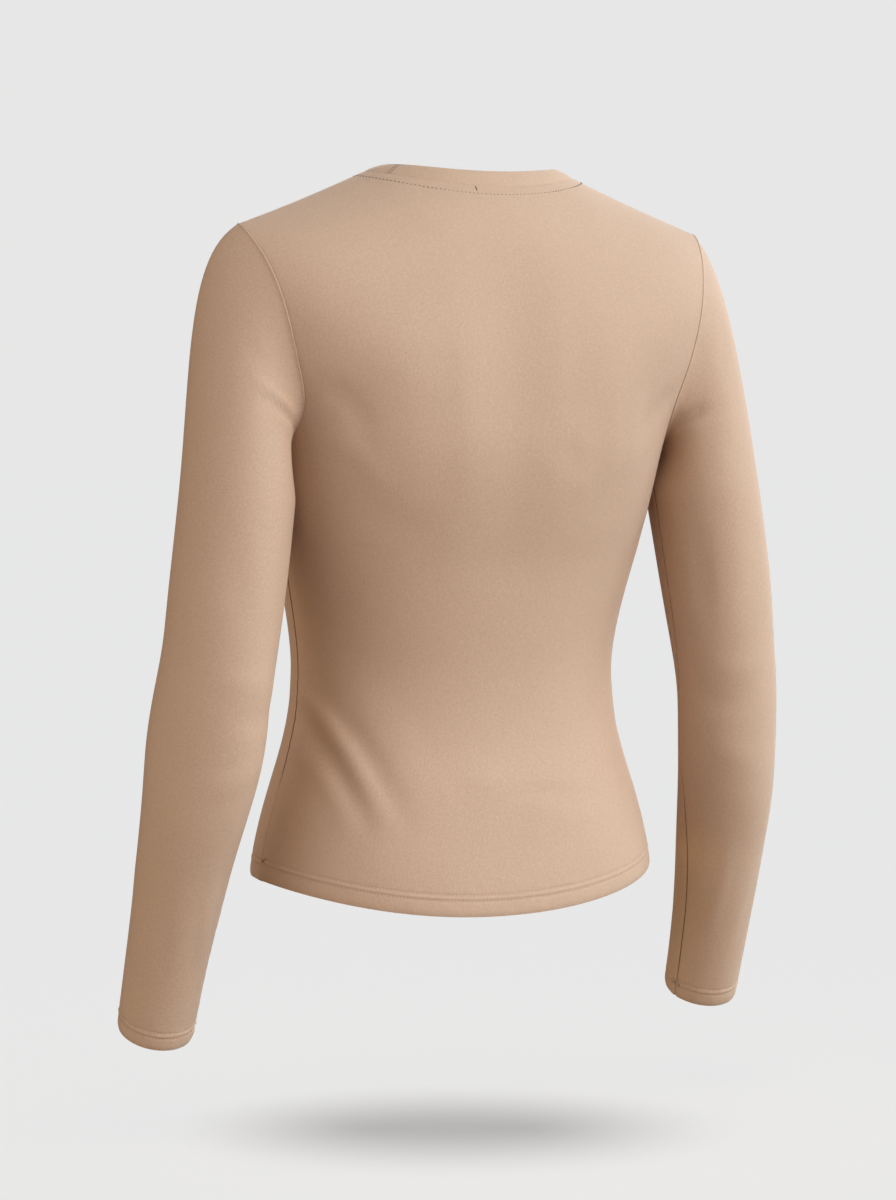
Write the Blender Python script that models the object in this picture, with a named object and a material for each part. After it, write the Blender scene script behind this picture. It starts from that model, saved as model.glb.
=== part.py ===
"""A fitted long-sleeve crew-neck t-shirt, worn and hollow, with no wearer.

Metres, +Z up. The front faces -Y and the wearer's left is +X. The origin is the middle of the
neck opening, level with the high points of the shoulders, where a wearer holds the shirt up.

Every piece is a wall of cloth: an outer grid of points worked out from the sizes below, and an
inner grid moved in by the cloth's thickness. Pieces that meet share the points and the normals of
their seam, and each stands back from it by half of the seam gap.
"""

import bmesh
import bpy
import numpy as np

# ---------------------------------------------------------------- cloth
WALL = 0.0012  # one layer of jersey
HEM_WALL = 0.0020  # two layers, where the hem and the cuffs are turned up
BAND_WALL = 0.0024  # the neckband, folded double
MOST_MITRE = 1.8  # how much longer than the wall a mitred seam edge may be
SEAM_GAP = 0.0003
HEM_TURN = 0.018  # height of the turned-up hem
CUFF_TURN = 0.017
TURN_STEP = 0.0015  # height over which the turned-up edge ends inside
CLOTH_COLOUR = (0.480, 0.318, 0.206, 1.0)
CLOTH_ROUGHNESS = 0.62

# ---------------------------------------------------------------- torso
NECK_HALF = 0.0864  # middle of the neck to the high point of the shoulder
SHOULDER_HALF = 0.190  # middle of the neck to the shoulder point, where the sleeve is set in
SHOULDER_DROP = 0.042
SHOULDER_SAG = 0.0010  # how far the middle of the shoulder line dips
UNDERARM_Z = -0.212
NECK_DROP = {"back": 0.012, "front": 0.092}
NECK_CURVE = {"back": 2.0, "front": 1.25}  # power of the cosine that shapes the neck edge
HEM_SIDE_Z = -0.540
HEM_TILT = 0.020  # fall of the hem towards the wearer's left, for each metre across
HEM_MIDDLE_Z = {"back": -0.563, "front": -0.548}
SECTION_POWER = 2.3  # of the superellipse of a level section: 2 is an ellipse
# The cloth rounds the shoulder over a fall, near the neck and at the sleeve, and by a power that
# makes it rounder the smaller it is.
ROUNDING_AT_NECK = {"back": 0.230, "front": 0.290}
ROUNDING_AT_SLEEVE = 0.085
POWER_AT_NECK = 0.52
POWER_AT_SLEEVE = 0.72

# Level sections of the torso: half width, and the depth of its side seam, middle back and front.
TORSO = (
    ("z", "half_width", "side_y", "back_y", "front_y"),
    (
        (-0.590, 0.164, -0.043, 0.078, -0.158),
        (-0.530, 0.159, -0.043, 0.078, -0.157),
        (-0.483, 0.148, -0.042, 0.069, -0.150),
        (-0.430, 0.133, -0.043, 0.057, -0.136),
        (-0.381, 0.1285, -0.042, 0.053, -0.129),
        (-0.330, 0.1355, -0.037, 0.062, -0.130),
        (-0.265, 0.149, -0.025, 0.081, -0.139),
        (-0.212, 0.158, -0.015, 0.092, -0.134),
        (-0.180, 0.168, -0.010, 0.093, -0.122),
        (-0.150, 0.183, -0.005, 0.093, -0.110),
        (-0.100, 0.199, -0.001, 0.092, -0.096),
        (-0.042, 0.208, 0.000, 0.092, -0.090),
        (0.000, 0.210, -0.009, 0.092, -0.094),
        (0.020, 0.210, -0.011, 0.092, -0.094),
    ),
)

# The armhole's edge, from the underarm (0) to the shoulder point (1), as a share of the half width.
ARMHOLE = (
    ("rise", "back", "front"),
    (
        (0.00, 1.000, 1.000),
        (0.06, 0.973, 0.966),
        (0.16, 0.925, 0.900),
        (0.36, 0.876, 0.822),
        (0.66, 0.868, 0.800),
        (0.84, 0.884, 0.840),
        (1.00, SHOULDER_HALF / 0.208, SHOULDER_HALF / 0.208),
    ),
)

# ---------------------------------------------------------------- sleeves
# Sections square to the left sleeve's middle line: its centre, half sizes and turn.
SLEEVE = (
    ("drop", "x", "y", "across", "depth", "turn"),
    (
        (0.250, 0.1960, 0.0088, 0.0425, 0.0530, 0.0),
        (0.290, 0.2015, 0.0115, 0.0425, 0.0515, 2.0),
        (0.330, 0.2070, 0.0130, 0.0420, 0.0495, 6.0),
        (0.360, 0.2111, 0.0130, 0.0408, 0.0482, 12.0),
        (0.400, 0.2170, 0.0104, 0.0397, 0.0480, 24.0),
        (0.440, 0.2211, 0.0038, 0.0392, 0.0475, 28.0),
        (0.480, 0.2252, -0.0060, 0.0382, 0.0435, 17.0),
        (0.520, 0.2287, -0.0195, 0.0360, 0.0390, 5.0),
        (0.560, 0.2316, -0.0333, 0.0332, 0.0362, 0.0),
        (0.600, 0.2342, -0.0481, 0.0310, 0.0338, 0.0),
        (0.659, 0.2366, -0.0705, 0.0292, 0.0318, 0.0),
    ),
)
CAP_LEAVES = (0.80, -0.42, -0.50)  # direction in which the sleeve leaves the armhole
CAP_START = 0.23  # handles of a cap line, as shares of its length
CAP_END = 0.46

# ---------------------------------------------------------------- neckband
BAND_WIDTH = 0.0145
BAND_LIFT = 0.30  # how far the band turns up from the cloth that it is sewn to
# The folded band's section: height up it and depth into it, as shares of its width and thickness.
BAND_FOLD = (
    (0.50, 0.00),
    (0.88, 0.00),
    (0.97, 0.22),
    (1.00, 0.50),
    (0.97, 0.78),
    (0.88, 1.00),
    (0.50, 1.00),
)

# ---------------------------------------------------------------- folds
# Large soft folds: a bowed line on a panel's plain form, from one (x, z) to another, raised
# (height above 0) or sunk across its half width.
TORSO_FOLDS = (
    ("side", "x0", "z0", "x1", "z1", "bow", "half_width", "height"),
    (
        ("back", 0.124, -0.385, 0.070, -0.495, 0.010, 0.019, 0.0040),
        ("back", 0.110, -0.372, 0.052, -0.470, 0.010, 0.020, -0.0030),
        ("back", -0.124, -0.375, -0.060, -0.470, 0.008, 0.020, 0.0026),
        ("back", 0.128, -0.232, 0.050, -0.275, -0.012, 0.020, -0.0022),
        ("back", -0.128, -0.232, -0.050, -0.275, -0.012, 0.020, -0.0022),
        ("front", 0.124, -0.378, 0.060, -0.470, 0.010, 0.020, 0.0034),
        ("front", -0.124, -0.385, -0.055, -0.482, 0.010, 0.020, 0.0036),
        ("front", 0.130, -0.222, 0.070, -0.262, -0.006, 0.018, -0.0026),
        ("front", -0.130, -0.222, -0.070, -0.262, -0.006, 0.018, -0.0026),
    ),
)
# The same on a sleeve, from one (angle, drop) to another. Angle 0 is outward, 90 is the back.
SLEEVE_FOLDS = (
    ("angle0", "drop0", "angle1", "drop1", "bow", "half_width", "height"),
    (
        (215.0, 0.345, 320.0, 0.362, 0.004, 0.016, -0.0036),
        (200.0, 0.375, 300.0, 0.400, 0.004, 0.016, -0.0030),
        (300.0, 0.440, 230.0, 0.470, 0.004, 0.015, -0.0024),
    ),
)

FOLD_CLEARANCE = 0.030  # distance over which a fold fades out at an armhole or at the neck

# ---------------------------------------------------------------- fineness of the grids
NECK_COLUMNS = 6  # columns from the middle to the high point of the shoulder
SHOULDER_COLUMNS = 8
NECK_CROWD = 1.3  # how the neck's columns crowd towards the shoulder: 1 is evenly round it
# How far columns swing outward below the high point of the shoulder, to stand off the neck's edge.
NECK_SPREAD = {"back": 0.0, "front": 0.036}
SIDE_ROWS = 15  # rows from the hem's stitching to the underarm
ARMHOLE_ROWS = 11
CAP_ROWS = 8
ARM_ROWS = 16
SHARP = np.radians(50)  # edges that turn more than this are shaded as edges

# ---------------------------------------------------------------- worked out from the above
SIDES = ("back", "front")
HALF_COLUMNS = NECK_COLUMNS + SHOULDER_COLUMNS
NECK_SHARE = NECK_COLUMNS / HALF_COLUMNS
UNDERARM_ROW = SIDE_ROWS + 3
TOP_ROW = UNDERARM_ROW + ARMHOLE_ROWS
SHOULDERS = (slice(0, SHOULDER_COLUMNS + 1), slice(HALF_COLUMNS + NECK_COLUMNS, None))
UP = np.array((0.0, 0.0, 1.0))
MIRROR = np.array((-1.0, 1.0, 1.0))
ACROSS = np.array((1.0, 0.0, 1.0))
NORMAL_STEP = 0.0001  # metres either side over which the torso's slopes are taken


# ---------------------------------------------------------------- curves and directions
def spline(stations, values, at):
    """A natural cubic through the values at their stations, which keeps its end values outside."""
    x, y = np.asarray(stations, float), np.asarray(values, float)
    step = np.diff(x)
    matrix, right = np.eye(len(x)), np.zeros(len(x))
    for k in range(1, len(x) - 1):
        matrix[k, k - 1 : k + 2] = step[k - 1], 2 * (step[k - 1] + step[k]), step[k]
        right[k] = 6 * ((y[k + 1] - y[k]) / step[k] - (y[k] - y[k - 1]) / step[k - 1])
    bend = np.linalg.solve(matrix, right)
    at = np.clip(at, x[0], x[-1])
    k = np.clip(np.searchsorted(x, at, side="right") - 1, 0, len(step) - 1)
    after, before, span = at - x[k], x[k + 1] - at, step[k]
    curved = (bend[k] * before**3 + bend[k + 1] * after**3) / (6 * span)
    straight = (y[k] / span - bend[k] * span / 6) * before
    return curved + straight + (y[k + 1] / span - bend[k + 1] * span / 6) * after


def read(table, name, at):
    """A named column of a table, read smoothly at stations in its first column."""
    names, rows = table
    return spline([row[0] for row in rows], [row[names.index(name)] for row in rows], at)


def unit(vectors):
    return vectors / np.linalg.norm(vectors, axis=-1, keepdims=True)


def ease(share):
    """0 to 1 with level ends."""
    share = np.clip(share, 0, 1)
    return share * share * (3 - 2 * share)


# ---------------------------------------------------------------- the form that the torso takes
def ridge(x):
    """Height of the shoulder line, and of the smooth run of the same form across the neck."""
    length = SHOULDER_HALF - NECK_HALF
    x = np.abs(x)
    out = (x - NECK_HALF) / length
    shoulder = -SHOULDER_DROP * out - SHOULDER_SAG * np.sin(np.pi * np.clip(out, 0, 1))
    slope = (SHOULDER_DROP + SHOULDER_SAG * np.pi) / length
    return np.where(out > 0, shoulder, slope * (NECK_HALF**2 - x**2) / (2 * NECK_HALF))


def torso_y(x, z, side):
    """Depth of the worn panel at a place of its front view."""
    share = np.clip(np.abs(x) / read(TORSO, "half_width", z), 0, 1)
    seam = read(TORSO, "side_y", z)
    depth = (read(TORSO, side + "_y", z) - seam) * (1 - share**SECTION_POWER) ** (1 / SECTION_POWER)
    towards_neck = 0.5 + 0.5 * np.cos(np.pi * np.clip(np.abs(x) / SHOULDER_HALF, 0, 1))
    fall = ROUNDING_AT_SLEEVE + (ROUNDING_AT_NECK[side] - ROUNDING_AT_SLEEVE) * towards_neck
    power = POWER_AT_SLEEVE + (POWER_AT_NECK - POWER_AT_SLEEVE) * towards_neck
    below = np.clip((ridge(x) - z) / fall, 0, 1)
    return seam + depth * np.sin(np.pi / 2 * below**power)


def torso_normals(points, side):
    """Outward normals of the worn form, from how its depth changes across and up."""
    x, z, step = points[..., 0], points[..., 2], NORMAL_STEP
    slopes = [
        (torso_y(x + dx, z + dz, side) - torso_y(x - dx, z - dz, side)) / (2 * step)
        for dx, dz in ((step, 0.0), (0.0, step))
    ]
    outward = 1.0 if side == "back" else -1.0
    return unit(np.stack([-slopes[0], np.ones_like(x), -slopes[1]], axis=-1)) * outward


def on_torso(x, z, side):
    return np.stack([x, torso_y(x, z, side), z], axis=-1)


def top_edge(share, side):
    """x and z of the neck seam and then the shoulder seam, from the middle (0) outward (1)."""
    turn = (1 - (1 - np.clip(share / NECK_SHARE, 0, 1)) ** NECK_CROWD) * np.pi / 2
    out = np.clip((share - NECK_SHARE) / (1 - NECK_SHARE), 0, 1)
    x = NECK_HALF * np.sin(turn) + (SHOULDER_HALF - NECK_HALF) * out
    neck_z = -NECK_DROP[side] * np.cos(turn) ** NECK_CURVE[side]
    return x, np.where(out > 0, ridge(x), neck_z)


def torso_panel(side):
    """The outer points of the front or back: rows go up, column 0 is on the wearer's left."""
    across = np.linspace(1, -1, 2 * HALF_COLUMNS + 1)
    share, sign = np.abs(across), np.sign(across)
    middle = np.sin(share * np.pi / 2)
    hem_z = HEM_SIDE_Z + (HEM_MIDDLE_Z[side] - HEM_SIDE_Z) * (1 - middle**2)
    hem_z = hem_z - HEM_TILT * sign * middle * read(TORSO, "half_width", HEM_SIDE_Z)
    turned = [hem_z + up for up in (0, HEM_TURN / 2, HEM_TURN, HEM_TURN + TURN_STEP)]
    level = np.linspace(0, 1, SIDE_ROWS + 1)[1:, None]
    z_below = np.vstack([turned, turned[-1] + (UNDERARM_Z - turned[-1]) * level])
    x_below = middle * read(TORSO, "half_width", z_below)

    # Rows above the underarm close up towards the shoulder, and at the armhole's foot.
    rise = np.linspace(0, 1, ARMHOLE_ROWS + 1)[1:, None]
    to_shoulder, to_side = ease(share / NECK_SHARE), ease((share - 0.5) / 0.5)
    both_ends = (1 - np.cos(np.pi * rise)) / 2
    one_end = np.sin(rise * np.pi / 2)
    up = rise + (one_end + (both_ends - one_end) * to_side - rise) * to_shoulder
    top_x, top_z = top_edge(share, side)
    x = x_below[-1] + (top_x - x_below[-1]) * up
    z = UNDERARM_Z + (top_z - UNDERARM_Z) * up
    edge_z = UNDERARM_Z + (-SHOULDER_DROP - UNDERARM_Z) * both_ends
    edge_x = read(ARMHOLE, side, both_ends) * read(TORSO, "half_width", edge_z)
    straight_x = x_below[-1, 0] + (SHOULDER_HALF - x_below[-1, 0]) * both_ends
    x = x + (edge_x - straight_x) * middle**2
    spread = NECK_SPREAD[side] * ease(1 - np.abs(share / NECK_SHARE - 1)) * np.sqrt(1 - up) * up**2
    x = x + spread
    z = z - spread * SHOULDER_DROP / (SHOULDER_HALF - NECK_HALF)
    return on_torso(sign * np.vstack([x_below, x]), np.vstack([z_below, z]), side)


# ---------------------------------------------------------------- the form that a sleeve takes
def sleeve_frame(drop):
    """Centre, outward and backward directions, and downward direction of the left sleeve."""
    drop = np.atleast_1d(drop)
    nearby = 0.002
    first, last = SLEEVE[1][0][0], SLEEVE[1][-1][0]
    low, high = np.clip(drop + nearby, first, last), np.clip(drop - nearby, first, last)

    def centre(at):
        return np.stack([read(SLEEVE, "x", at), read(SLEEVE, "y", at), -at], axis=-1)

    down = unit(centre(low) - centre(high))
    back = unit(np.cross(np.array((1.0, 0.0, 0.0)), down))
    out = unit(np.cross(down, back))
    return centre(drop), out, back, down


def on_sleeve(angle, drop):
    """Points of the left sleeve's plain form: angle 0 is outward, 90 is the back."""
    centre, out, back, _ = sleeve_frame(drop)
    turn = np.radians(read(SLEEVE, "turn", np.atleast_1d(drop)))[:, None]
    across, depth = (read(SLEEVE, name, np.atleast_1d(drop))[:, None] for name in ("across", "depth"))
    long_way = out * np.cos(turn) + back * np.sin(turn)
    short_way = back * np.cos(turn) - out * np.sin(turn)
    around = np.radians(angle)
    return (
        centre[:, None, :]
        + (across * np.cos(around))[..., None] * long_way[:, None, :]
        + (depth * np.sin(around))[..., None] * short_way[:, None, :]
    )


def sleeve_drops():
    """Stations of the sleeve's rings below its cap, the last ones at the cuff's turn."""
    first, last = SLEEVE[1][0][0], SLEEVE[1][-1][0]
    lean = -sleeve_frame(last)[3][0, 2]
    turned = [last - up * lean for up in (CUFF_TURN + TURN_STEP, CUFF_TURN, CUFF_TURN / 2, 0)]
    return np.concatenate([np.linspace(first, turned[0], ARM_ROWS + 1), turned[1:]])


def sleeve_tube(armhole):
    """The outer points of the left sleeve, row 0 on the armhole and the last row at the cuff."""
    angle = np.linspace(0, 360, len(armhole), endpoint=False)[None, :]
    drops = sleeve_drops()
    arm = on_sleeve(np.repeat(angle, len(drops), axis=0), drops)
    down = sleeve_frame(drops[0])[3][0]
    length = np.linalg.norm(arm[0] - armhole, axis=1)[:, None]
    handles = (
        armhole,
        armhole + unit(np.array(CAP_LEAVES)) * length * CAP_START,
        arm[0] - down * length * CAP_END,
        arm[0],
    )
    rows = []
    for t in np.linspace(0, 1, CAP_ROWS + 1)[:-1]:
        shares = ((1 - t) ** 3, 3 * t * (1 - t) ** 2, 3 * t * t * (1 - t), t**3)
        rows.append(sum(share * handle for share, handle in zip(shares, handles)))
    return np.concatenate([rows, arm])


# ---------------------------------------------------------------- folds
def bowed_line(start, end, bow, normal):
    """Points along a line that swings aside by bow at its middle."""
    along = np.linspace(0, 1, 13)[:, None]
    aside = unit(np.cross(normal, end - start))
    return start + (end - start) * along + aside * bow * np.sin(np.pi * along)


def fold_height(points, line, half_width, height):
    """Height of one soft fold at each point, faded out at its sides and ends."""
    nearest = np.full(points.shape[:-1], np.inf)
    share = np.zeros(points.shape[:-1])
    for k in range(len(line) - 1):
        step = line[k + 1] - line[k]
        along = np.clip((points - line[k]) @ step / (step @ step), 0, 1)
        distance = np.linalg.norm(points - line[k] - along[..., None] * step, axis=-1)
        share = np.where(distance < nearest, (k + along) / (len(line) - 1), share)
        nearest = np.minimum(distance, nearest)
    side = np.clip(1 - (nearest / half_width) ** 2, 0, 1) ** 2
    return height * side * np.sin(np.pi * share) ** 0.7


def torso_folds(points):
    total = np.zeros(points.shape[:-1])
    for side, x0, z0, x1, z1, bow, half_width, height in TORSO_FOLDS[1]:
        ends = on_torso(np.array((x0, x1)), np.array((z0, z1)), side)
        facing = np.array((0.0, 1.0 if side == "back" else -1.0, 0.0))
        line = bowed_line(ends[0], ends[1], bow, facing)
        line = on_torso(line[:, 0], line[:, 2], side)
        total = total + fold_height(points, line, half_width, height)
    return total


def sleeve_folds(points):
    total = np.zeros(points.shape[:-1])
    along = np.linspace(0, 1, 13)
    for angle0, drop0, angle1, drop1, bow, half_width, height in SLEEVE_FOLDS[1]:
        drop = drop0 + (drop1 - drop0) * along + bow * np.sin(np.pi * along)
        angle = angle0 + (angle1 - angle0) * along
        line = on_sleeve(angle[:, None], drop)[:, 0]
        total = total + fold_height(points, line, half_width, height)
    return total


def clear_of(points, *seams):
    """1 away from seams, fading to 0 at them, so that folds leave the seams where they are."""
    share = np.ones(points.shape[:-1])
    for seam in seams:
        for hand in (1, MIRROR):
            away = np.linalg.norm(points[..., None, :] - seam * hand, axis=-1).min(axis=-1)
            share = share * ease(away / FOLD_CLEARANCE)
    return share


# ---------------------------------------------------------------- seams
# A seam's place is a row and a column in a panel. Both panels have the same rows and columns.
def armhole_places(column):
    """Round an armhole: the shoulder point, down the back, the underarm, and up the front."""
    down = [(("back",), row, column) for row in range(TOP_ROW, UNDERARM_ROW - 1, -1)]
    up = [(("front",), row, column) for row in range(UNDERARM_ROW + 1, TOP_ROW)]
    down[0] = (("back", "front"), TOP_ROW, column)
    down[-1] = (("back", "front"), UNDERARM_ROW, column)
    return down + up


def neck_places():
    """Round the neck: the left shoulder, across the back, the right shoulder, across the front."""
    left, right = HALF_COLUMNS - NECK_COLUMNS, HALF_COLUMNS + NECK_COLUMNS
    back = [(("back",), TOP_ROW, column) for column in range(left, right + 1)]
    front = [(("front",), TOP_ROW, column) for column in range(right - 1, left, -1)]
    back[0] = (("back", "front"), TOP_ROW, left)
    back[-1] = (("back", "front"), TOP_ROW, right)
    return back + front


def gather(grids, places):
    return np.array([grids[panels[0]][row, column] for panels, row, column in places])


def square_to_shoulder(places, facing):
    """A ring's shared normals, kept in the plane of the shoulder seam where they meet it."""
    for k, (_, row, _) in enumerate(places):
        if row == TOP_ROW and len(places[k][0]) == 2:
            facing[k] = unit(facing[k] * ACROSS)
    return facing


def put(grids, places, values):
    for (panels, row, column), value in zip(places, values):
        for panel in panels:
            grids[panel][row, column] = value


def add(grids, places, values):
    for (panels, row, column), value in zip(places, values):
        for panel in panels:
            grids[panel][row, column] += value


def tube_normals(tube):
    """Outward unit normals of a tube's rings."""
    around = np.roll(tube, -1, axis=1) - np.roll(tube, 1, axis=1)
    found = unit(np.cross(around, np.gradient(tube, axis=0)))
    return found * np.sign(np.sum(found * (tube - tube.mean(axis=1, keepdims=True))))


def away_from_seam(points, facing, towards, ring):
    """Half a seam gap for each point of a seam, square to it and towards one of its pieces."""
    along = np.gradient(points, axis=0)
    if ring:
        along = np.roll(points, -1, axis=0) - np.roll(points, 1, axis=0)
    aside = unit(np.cross(along, facing))
    return aside * np.sign(np.sum(aside * (towards - points), axis=-1, keepdims=True)) * SEAM_GAP / 2


def mitre(own, shared):
    """How much longer a seam's edge is than the wall where two pieces meet at an angle."""
    return np.clip(1 / np.maximum(np.sum(own * shared, axis=-1), 0.1), 1, MOST_MITRE)


# ---------------------------------------------------------------- walls
def wall_object(name, outer, inner, ring):
    """One closed wall between two grids of points. A ring's columns close on themselves."""
    rows, columns = outer.shape[:2]
    mesh = bmesh.new()
    out, into = ([[mesh.verts.new(point) for point in row] for row in grid] for grid in (outer, inner))
    pairs = [(j, (j + 1) % columns) for j in range(columns if ring else columns - 1)]
    for j, k in pairs:
        for skin in (out, into):
            for i in range(rows - 1):
                mesh.faces.new((skin[i][j], skin[i][k], skin[i + 1][k], skin[i + 1][j]))
        for i in (0, rows - 1):
            mesh.faces.new((out[i][j], out[i][k], into[i][k], into[i][j]))
    for j in () if ring else (0, columns - 1):
        for i in range(rows - 1):
            mesh.faces.new((out[i][j], out[i + 1][j], into[i + 1][j], into[i][j]))
    return mesh_object(name, mesh)


def hoop_object(name, sections):
    """One closed hoop: row i holds point i of the section, right round the hoop."""
    rows, columns = sections.shape[:2]
    mesh = bmesh.new()
    points = [[mesh.verts.new(point) for point in row] for row in sections]
    for i in range(rows):
        for j in range(columns):
            m, k = (i + 1) % rows, (j + 1) % columns
            mesh.faces.new((points[i][j], points[i][k], points[m][k], points[m][j]))
    return mesh_object(name, mesh)


def mesh_object(name, mesh):
    bmesh.ops.recalc_face_normals(mesh, faces=mesh.faces)
    data = bpy.data.meshes.new(name)
    mesh.to_mesh(data)
    mesh.free()
    data.shade_smooth()
    data.set_sharp_from_angle(angle=SHARP)
    data.materials.append(jersey(name))
    made = bpy.data.objects.new(name, data)
    bpy.context.scene.collection.objects.link(made)
    return made


def jersey(name):
    material = bpy.data.materials.new(name + "_jersey")
    material.use_nodes = True
    shader = material.node_tree.nodes["Principled BSDF"]
    shader.inputs["Base Color"].default_value = CLOTH_COLOUR
    shader.inputs["Roughness"].default_value = CLOTH_ROUGHNESS
    shader.inputs["Metallic"].default_value = 0.0
    return material


def layers(rows, turned):
    """Thickness of each row of a piece, two layers over the rows that are turned up."""
    walls = np.full((rows, 1, 1), WALL)
    walls[turned] = HEM_WALL
    return walls


# ---------------------------------------------------------------- the pieces
def torso_facing(plain):
    """The panels' normals, which they share along the side and shoulder seams."""
    own = {side: torso_normals(plain[side], side) for side in SIDES}
    shared = {side: own[side].copy() for side in SIDES}
    both = unit(own["back"] + own["front"])
    for side in SIDES:
        for column in (0, -1):
            shared[side][: UNDERARM_ROW + 1, column] = both[: UNDERARM_ROW + 1, column]
        for columns in SHOULDERS:
            shared[side][TOP_ROW, columns] = unit(both[TOP_ROW, columns] * ACROSS)
    return own, shared


def side_and_shoulder_gaps(plain, facing):
    """How far each panel stands back from the seams that join the two."""
    gaps = {side: np.zeros_like(plain[side]) for side in SIDES}
    below = slice(0, UNDERARM_ROW + 1)
    seams = [((below, 0), (below, 1)), ((below, -1), (below, -2))]
    seams += [((TOP_ROW, columns), (TOP_ROW - 1, columns)) for columns in SHOULDERS]
    for seam, next_to_it in seams:
        for side in SIDES:
            points = plain[side]
            gaps[side][seam] += away_from_seam(
                points[seam], facing[side][seam], points[next_to_it], ring=False
            )
    return gaps


def neckband(points, body_facing):
    """The folded band's sections round the neck seam, and the normals that it shares there."""
    along = unit(np.roll(points, -1, axis=0) - np.roll(points, 1, axis=0))
    above = points.mean(axis=0) + UP * NECK_HALF
    surface = unit(np.cross(along, body_facing))
    surface = surface * np.sign(np.sum(surface * (above - points), axis=1, keepdims=True))
    rise = unit(surface + UP * BAND_LIFT)
    face = unit(np.cross(rise, along))
    face = face * np.sign(np.sum(face * body_facing, axis=1, keepdims=True))
    seam = square_to_shoulder(neck_places(), unit(face + body_facing))
    gap = away_from_seam(points, seam, points + rise, ring=True)
    rows = [points + rise * up * BAND_WIDTH - face * deep * BAND_WALL for up, deep in BAND_FOLD]
    foot = points + gap
    return np.array([foot] + rows + [foot - seam * BAND_WALL]), seam, gap


def build():
    for old in list(bpy.data.objects):
        bpy.data.objects.remove(old, do_unlink=True)
    plain = {side: torso_panel(side) for side in SIDES}
    own, facing = torso_facing(plain)
    gaps = side_and_shoulder_gaps(plain, facing)

    # The sleeve is worked out on the left and mirrored.
    left, right = armhole_places(0), armhole_places(-1)
    armhole = gather(plain, left)
    tube = sleeve_tube(armhole)
    tube_own = tube_normals(tube)
    tube_facing = tube_own.copy()
    tube_facing[0] = square_to_shoulder(left, unit(gather(facing, left) + tube_own[0]))
    gap = away_from_seam(armhole, tube_facing[0], tube[1], ring=True)
    for places, hand in ((left, 1), (right, MIRROR)):
        put(facing, places, tube_facing[0] * hand)
        add(gaps, places, -gap * hand)

    neck = neck_places()
    band, seam, gap = neckband(gather(plain, neck), gather(facing, neck))
    put(facing, neck, seam)
    add(gaps, neck, -gap)

    for side in SIDES:
        height = torso_folds(plain[side]) * clear_of(plain[side], armhole, gather(plain, neck))
        outer = plain[side] + facing[side] * height[..., None] + gaps[side]
        depth = layers(TOP_ROW + 1, slice(0, 3)) * mitre(own[side], facing[side])[..., None]
        wall_object(side, outer, outer - facing[side] * depth, ring=False)
    outer = tube + tube_facing * (sleeve_folds(tube) * clear_of(tube, armhole))[..., None]
    outer[0] += away_from_seam(armhole, tube_facing[0], tube[1], ring=True)
    depth = layers(len(tube), slice(-3, None)) * mitre(tube_own, tube_facing)[..., None]
    inner = outer - tube_facing * depth
    wall_object("sleeve_left", outer, inner, ring=True)
    wall_object("sleeve_right", outer * MIRROR, inner * MIRROR, ring=True)
    hoop_object("neckband", band)


build()
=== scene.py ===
"""The looks of the worn long-sleeve t-shirt: thin jersey shells on the CAD model's form, with
their creases, seams, stitches and knit, on a plain pale floor under soft light.

Metres, +Z up. The front faces -Y and the wearer's left is +X. The form is worked out as the CAD
model's is, from the same sizes, on finer grids that crowd by the seams and the turned hems. A
table's first row names its columns.
"""

import bpy
import numpy as np
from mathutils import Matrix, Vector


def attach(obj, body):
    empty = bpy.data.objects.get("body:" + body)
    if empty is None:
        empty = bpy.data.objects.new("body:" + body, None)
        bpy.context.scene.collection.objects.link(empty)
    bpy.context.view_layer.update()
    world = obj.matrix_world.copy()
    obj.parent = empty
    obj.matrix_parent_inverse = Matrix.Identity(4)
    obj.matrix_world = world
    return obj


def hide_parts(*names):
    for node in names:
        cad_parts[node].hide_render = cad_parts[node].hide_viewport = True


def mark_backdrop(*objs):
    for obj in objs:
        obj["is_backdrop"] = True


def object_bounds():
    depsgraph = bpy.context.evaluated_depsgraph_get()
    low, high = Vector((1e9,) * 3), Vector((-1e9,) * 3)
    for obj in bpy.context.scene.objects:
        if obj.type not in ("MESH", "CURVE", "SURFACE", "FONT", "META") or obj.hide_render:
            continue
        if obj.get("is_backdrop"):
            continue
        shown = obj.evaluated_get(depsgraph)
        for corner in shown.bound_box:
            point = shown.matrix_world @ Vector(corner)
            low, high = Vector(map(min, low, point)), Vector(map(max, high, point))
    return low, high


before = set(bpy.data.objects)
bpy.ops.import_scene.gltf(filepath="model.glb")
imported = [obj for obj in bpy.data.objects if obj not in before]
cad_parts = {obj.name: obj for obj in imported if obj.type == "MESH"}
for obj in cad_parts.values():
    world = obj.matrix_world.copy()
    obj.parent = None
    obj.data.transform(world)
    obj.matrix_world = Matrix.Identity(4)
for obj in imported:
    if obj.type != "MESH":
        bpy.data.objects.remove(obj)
CAD_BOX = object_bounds()

# ---------------- cloth
WALL = 0.0009  # one layer of jersey
HEM_WALL = 0.0018  # two layers, where the hem and the cuffs are turned up
BAND_WALL = 0.0024  # the neckband, folded double
TURN_FADE = 0.002  # height over which the turned-up layer ends
MOST_MITRE = 1.8  # how much thicker than the wall a mitred seam edge may be
SEAM_GAP = 0.00002  # between neighbouring shells, which meet along their seams
HEM_TURN = 0.018
CUFF_TURN = 0.017
HEM_STITCHES = (0.012, 0.0165)  # heights of the twin rows above the hem's edge
CUFF_STITCHES = (0.0105, 0.0155)
NECK_STITCHES = 0.0086  # how far below the neck seam its row of stitches runs

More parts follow.
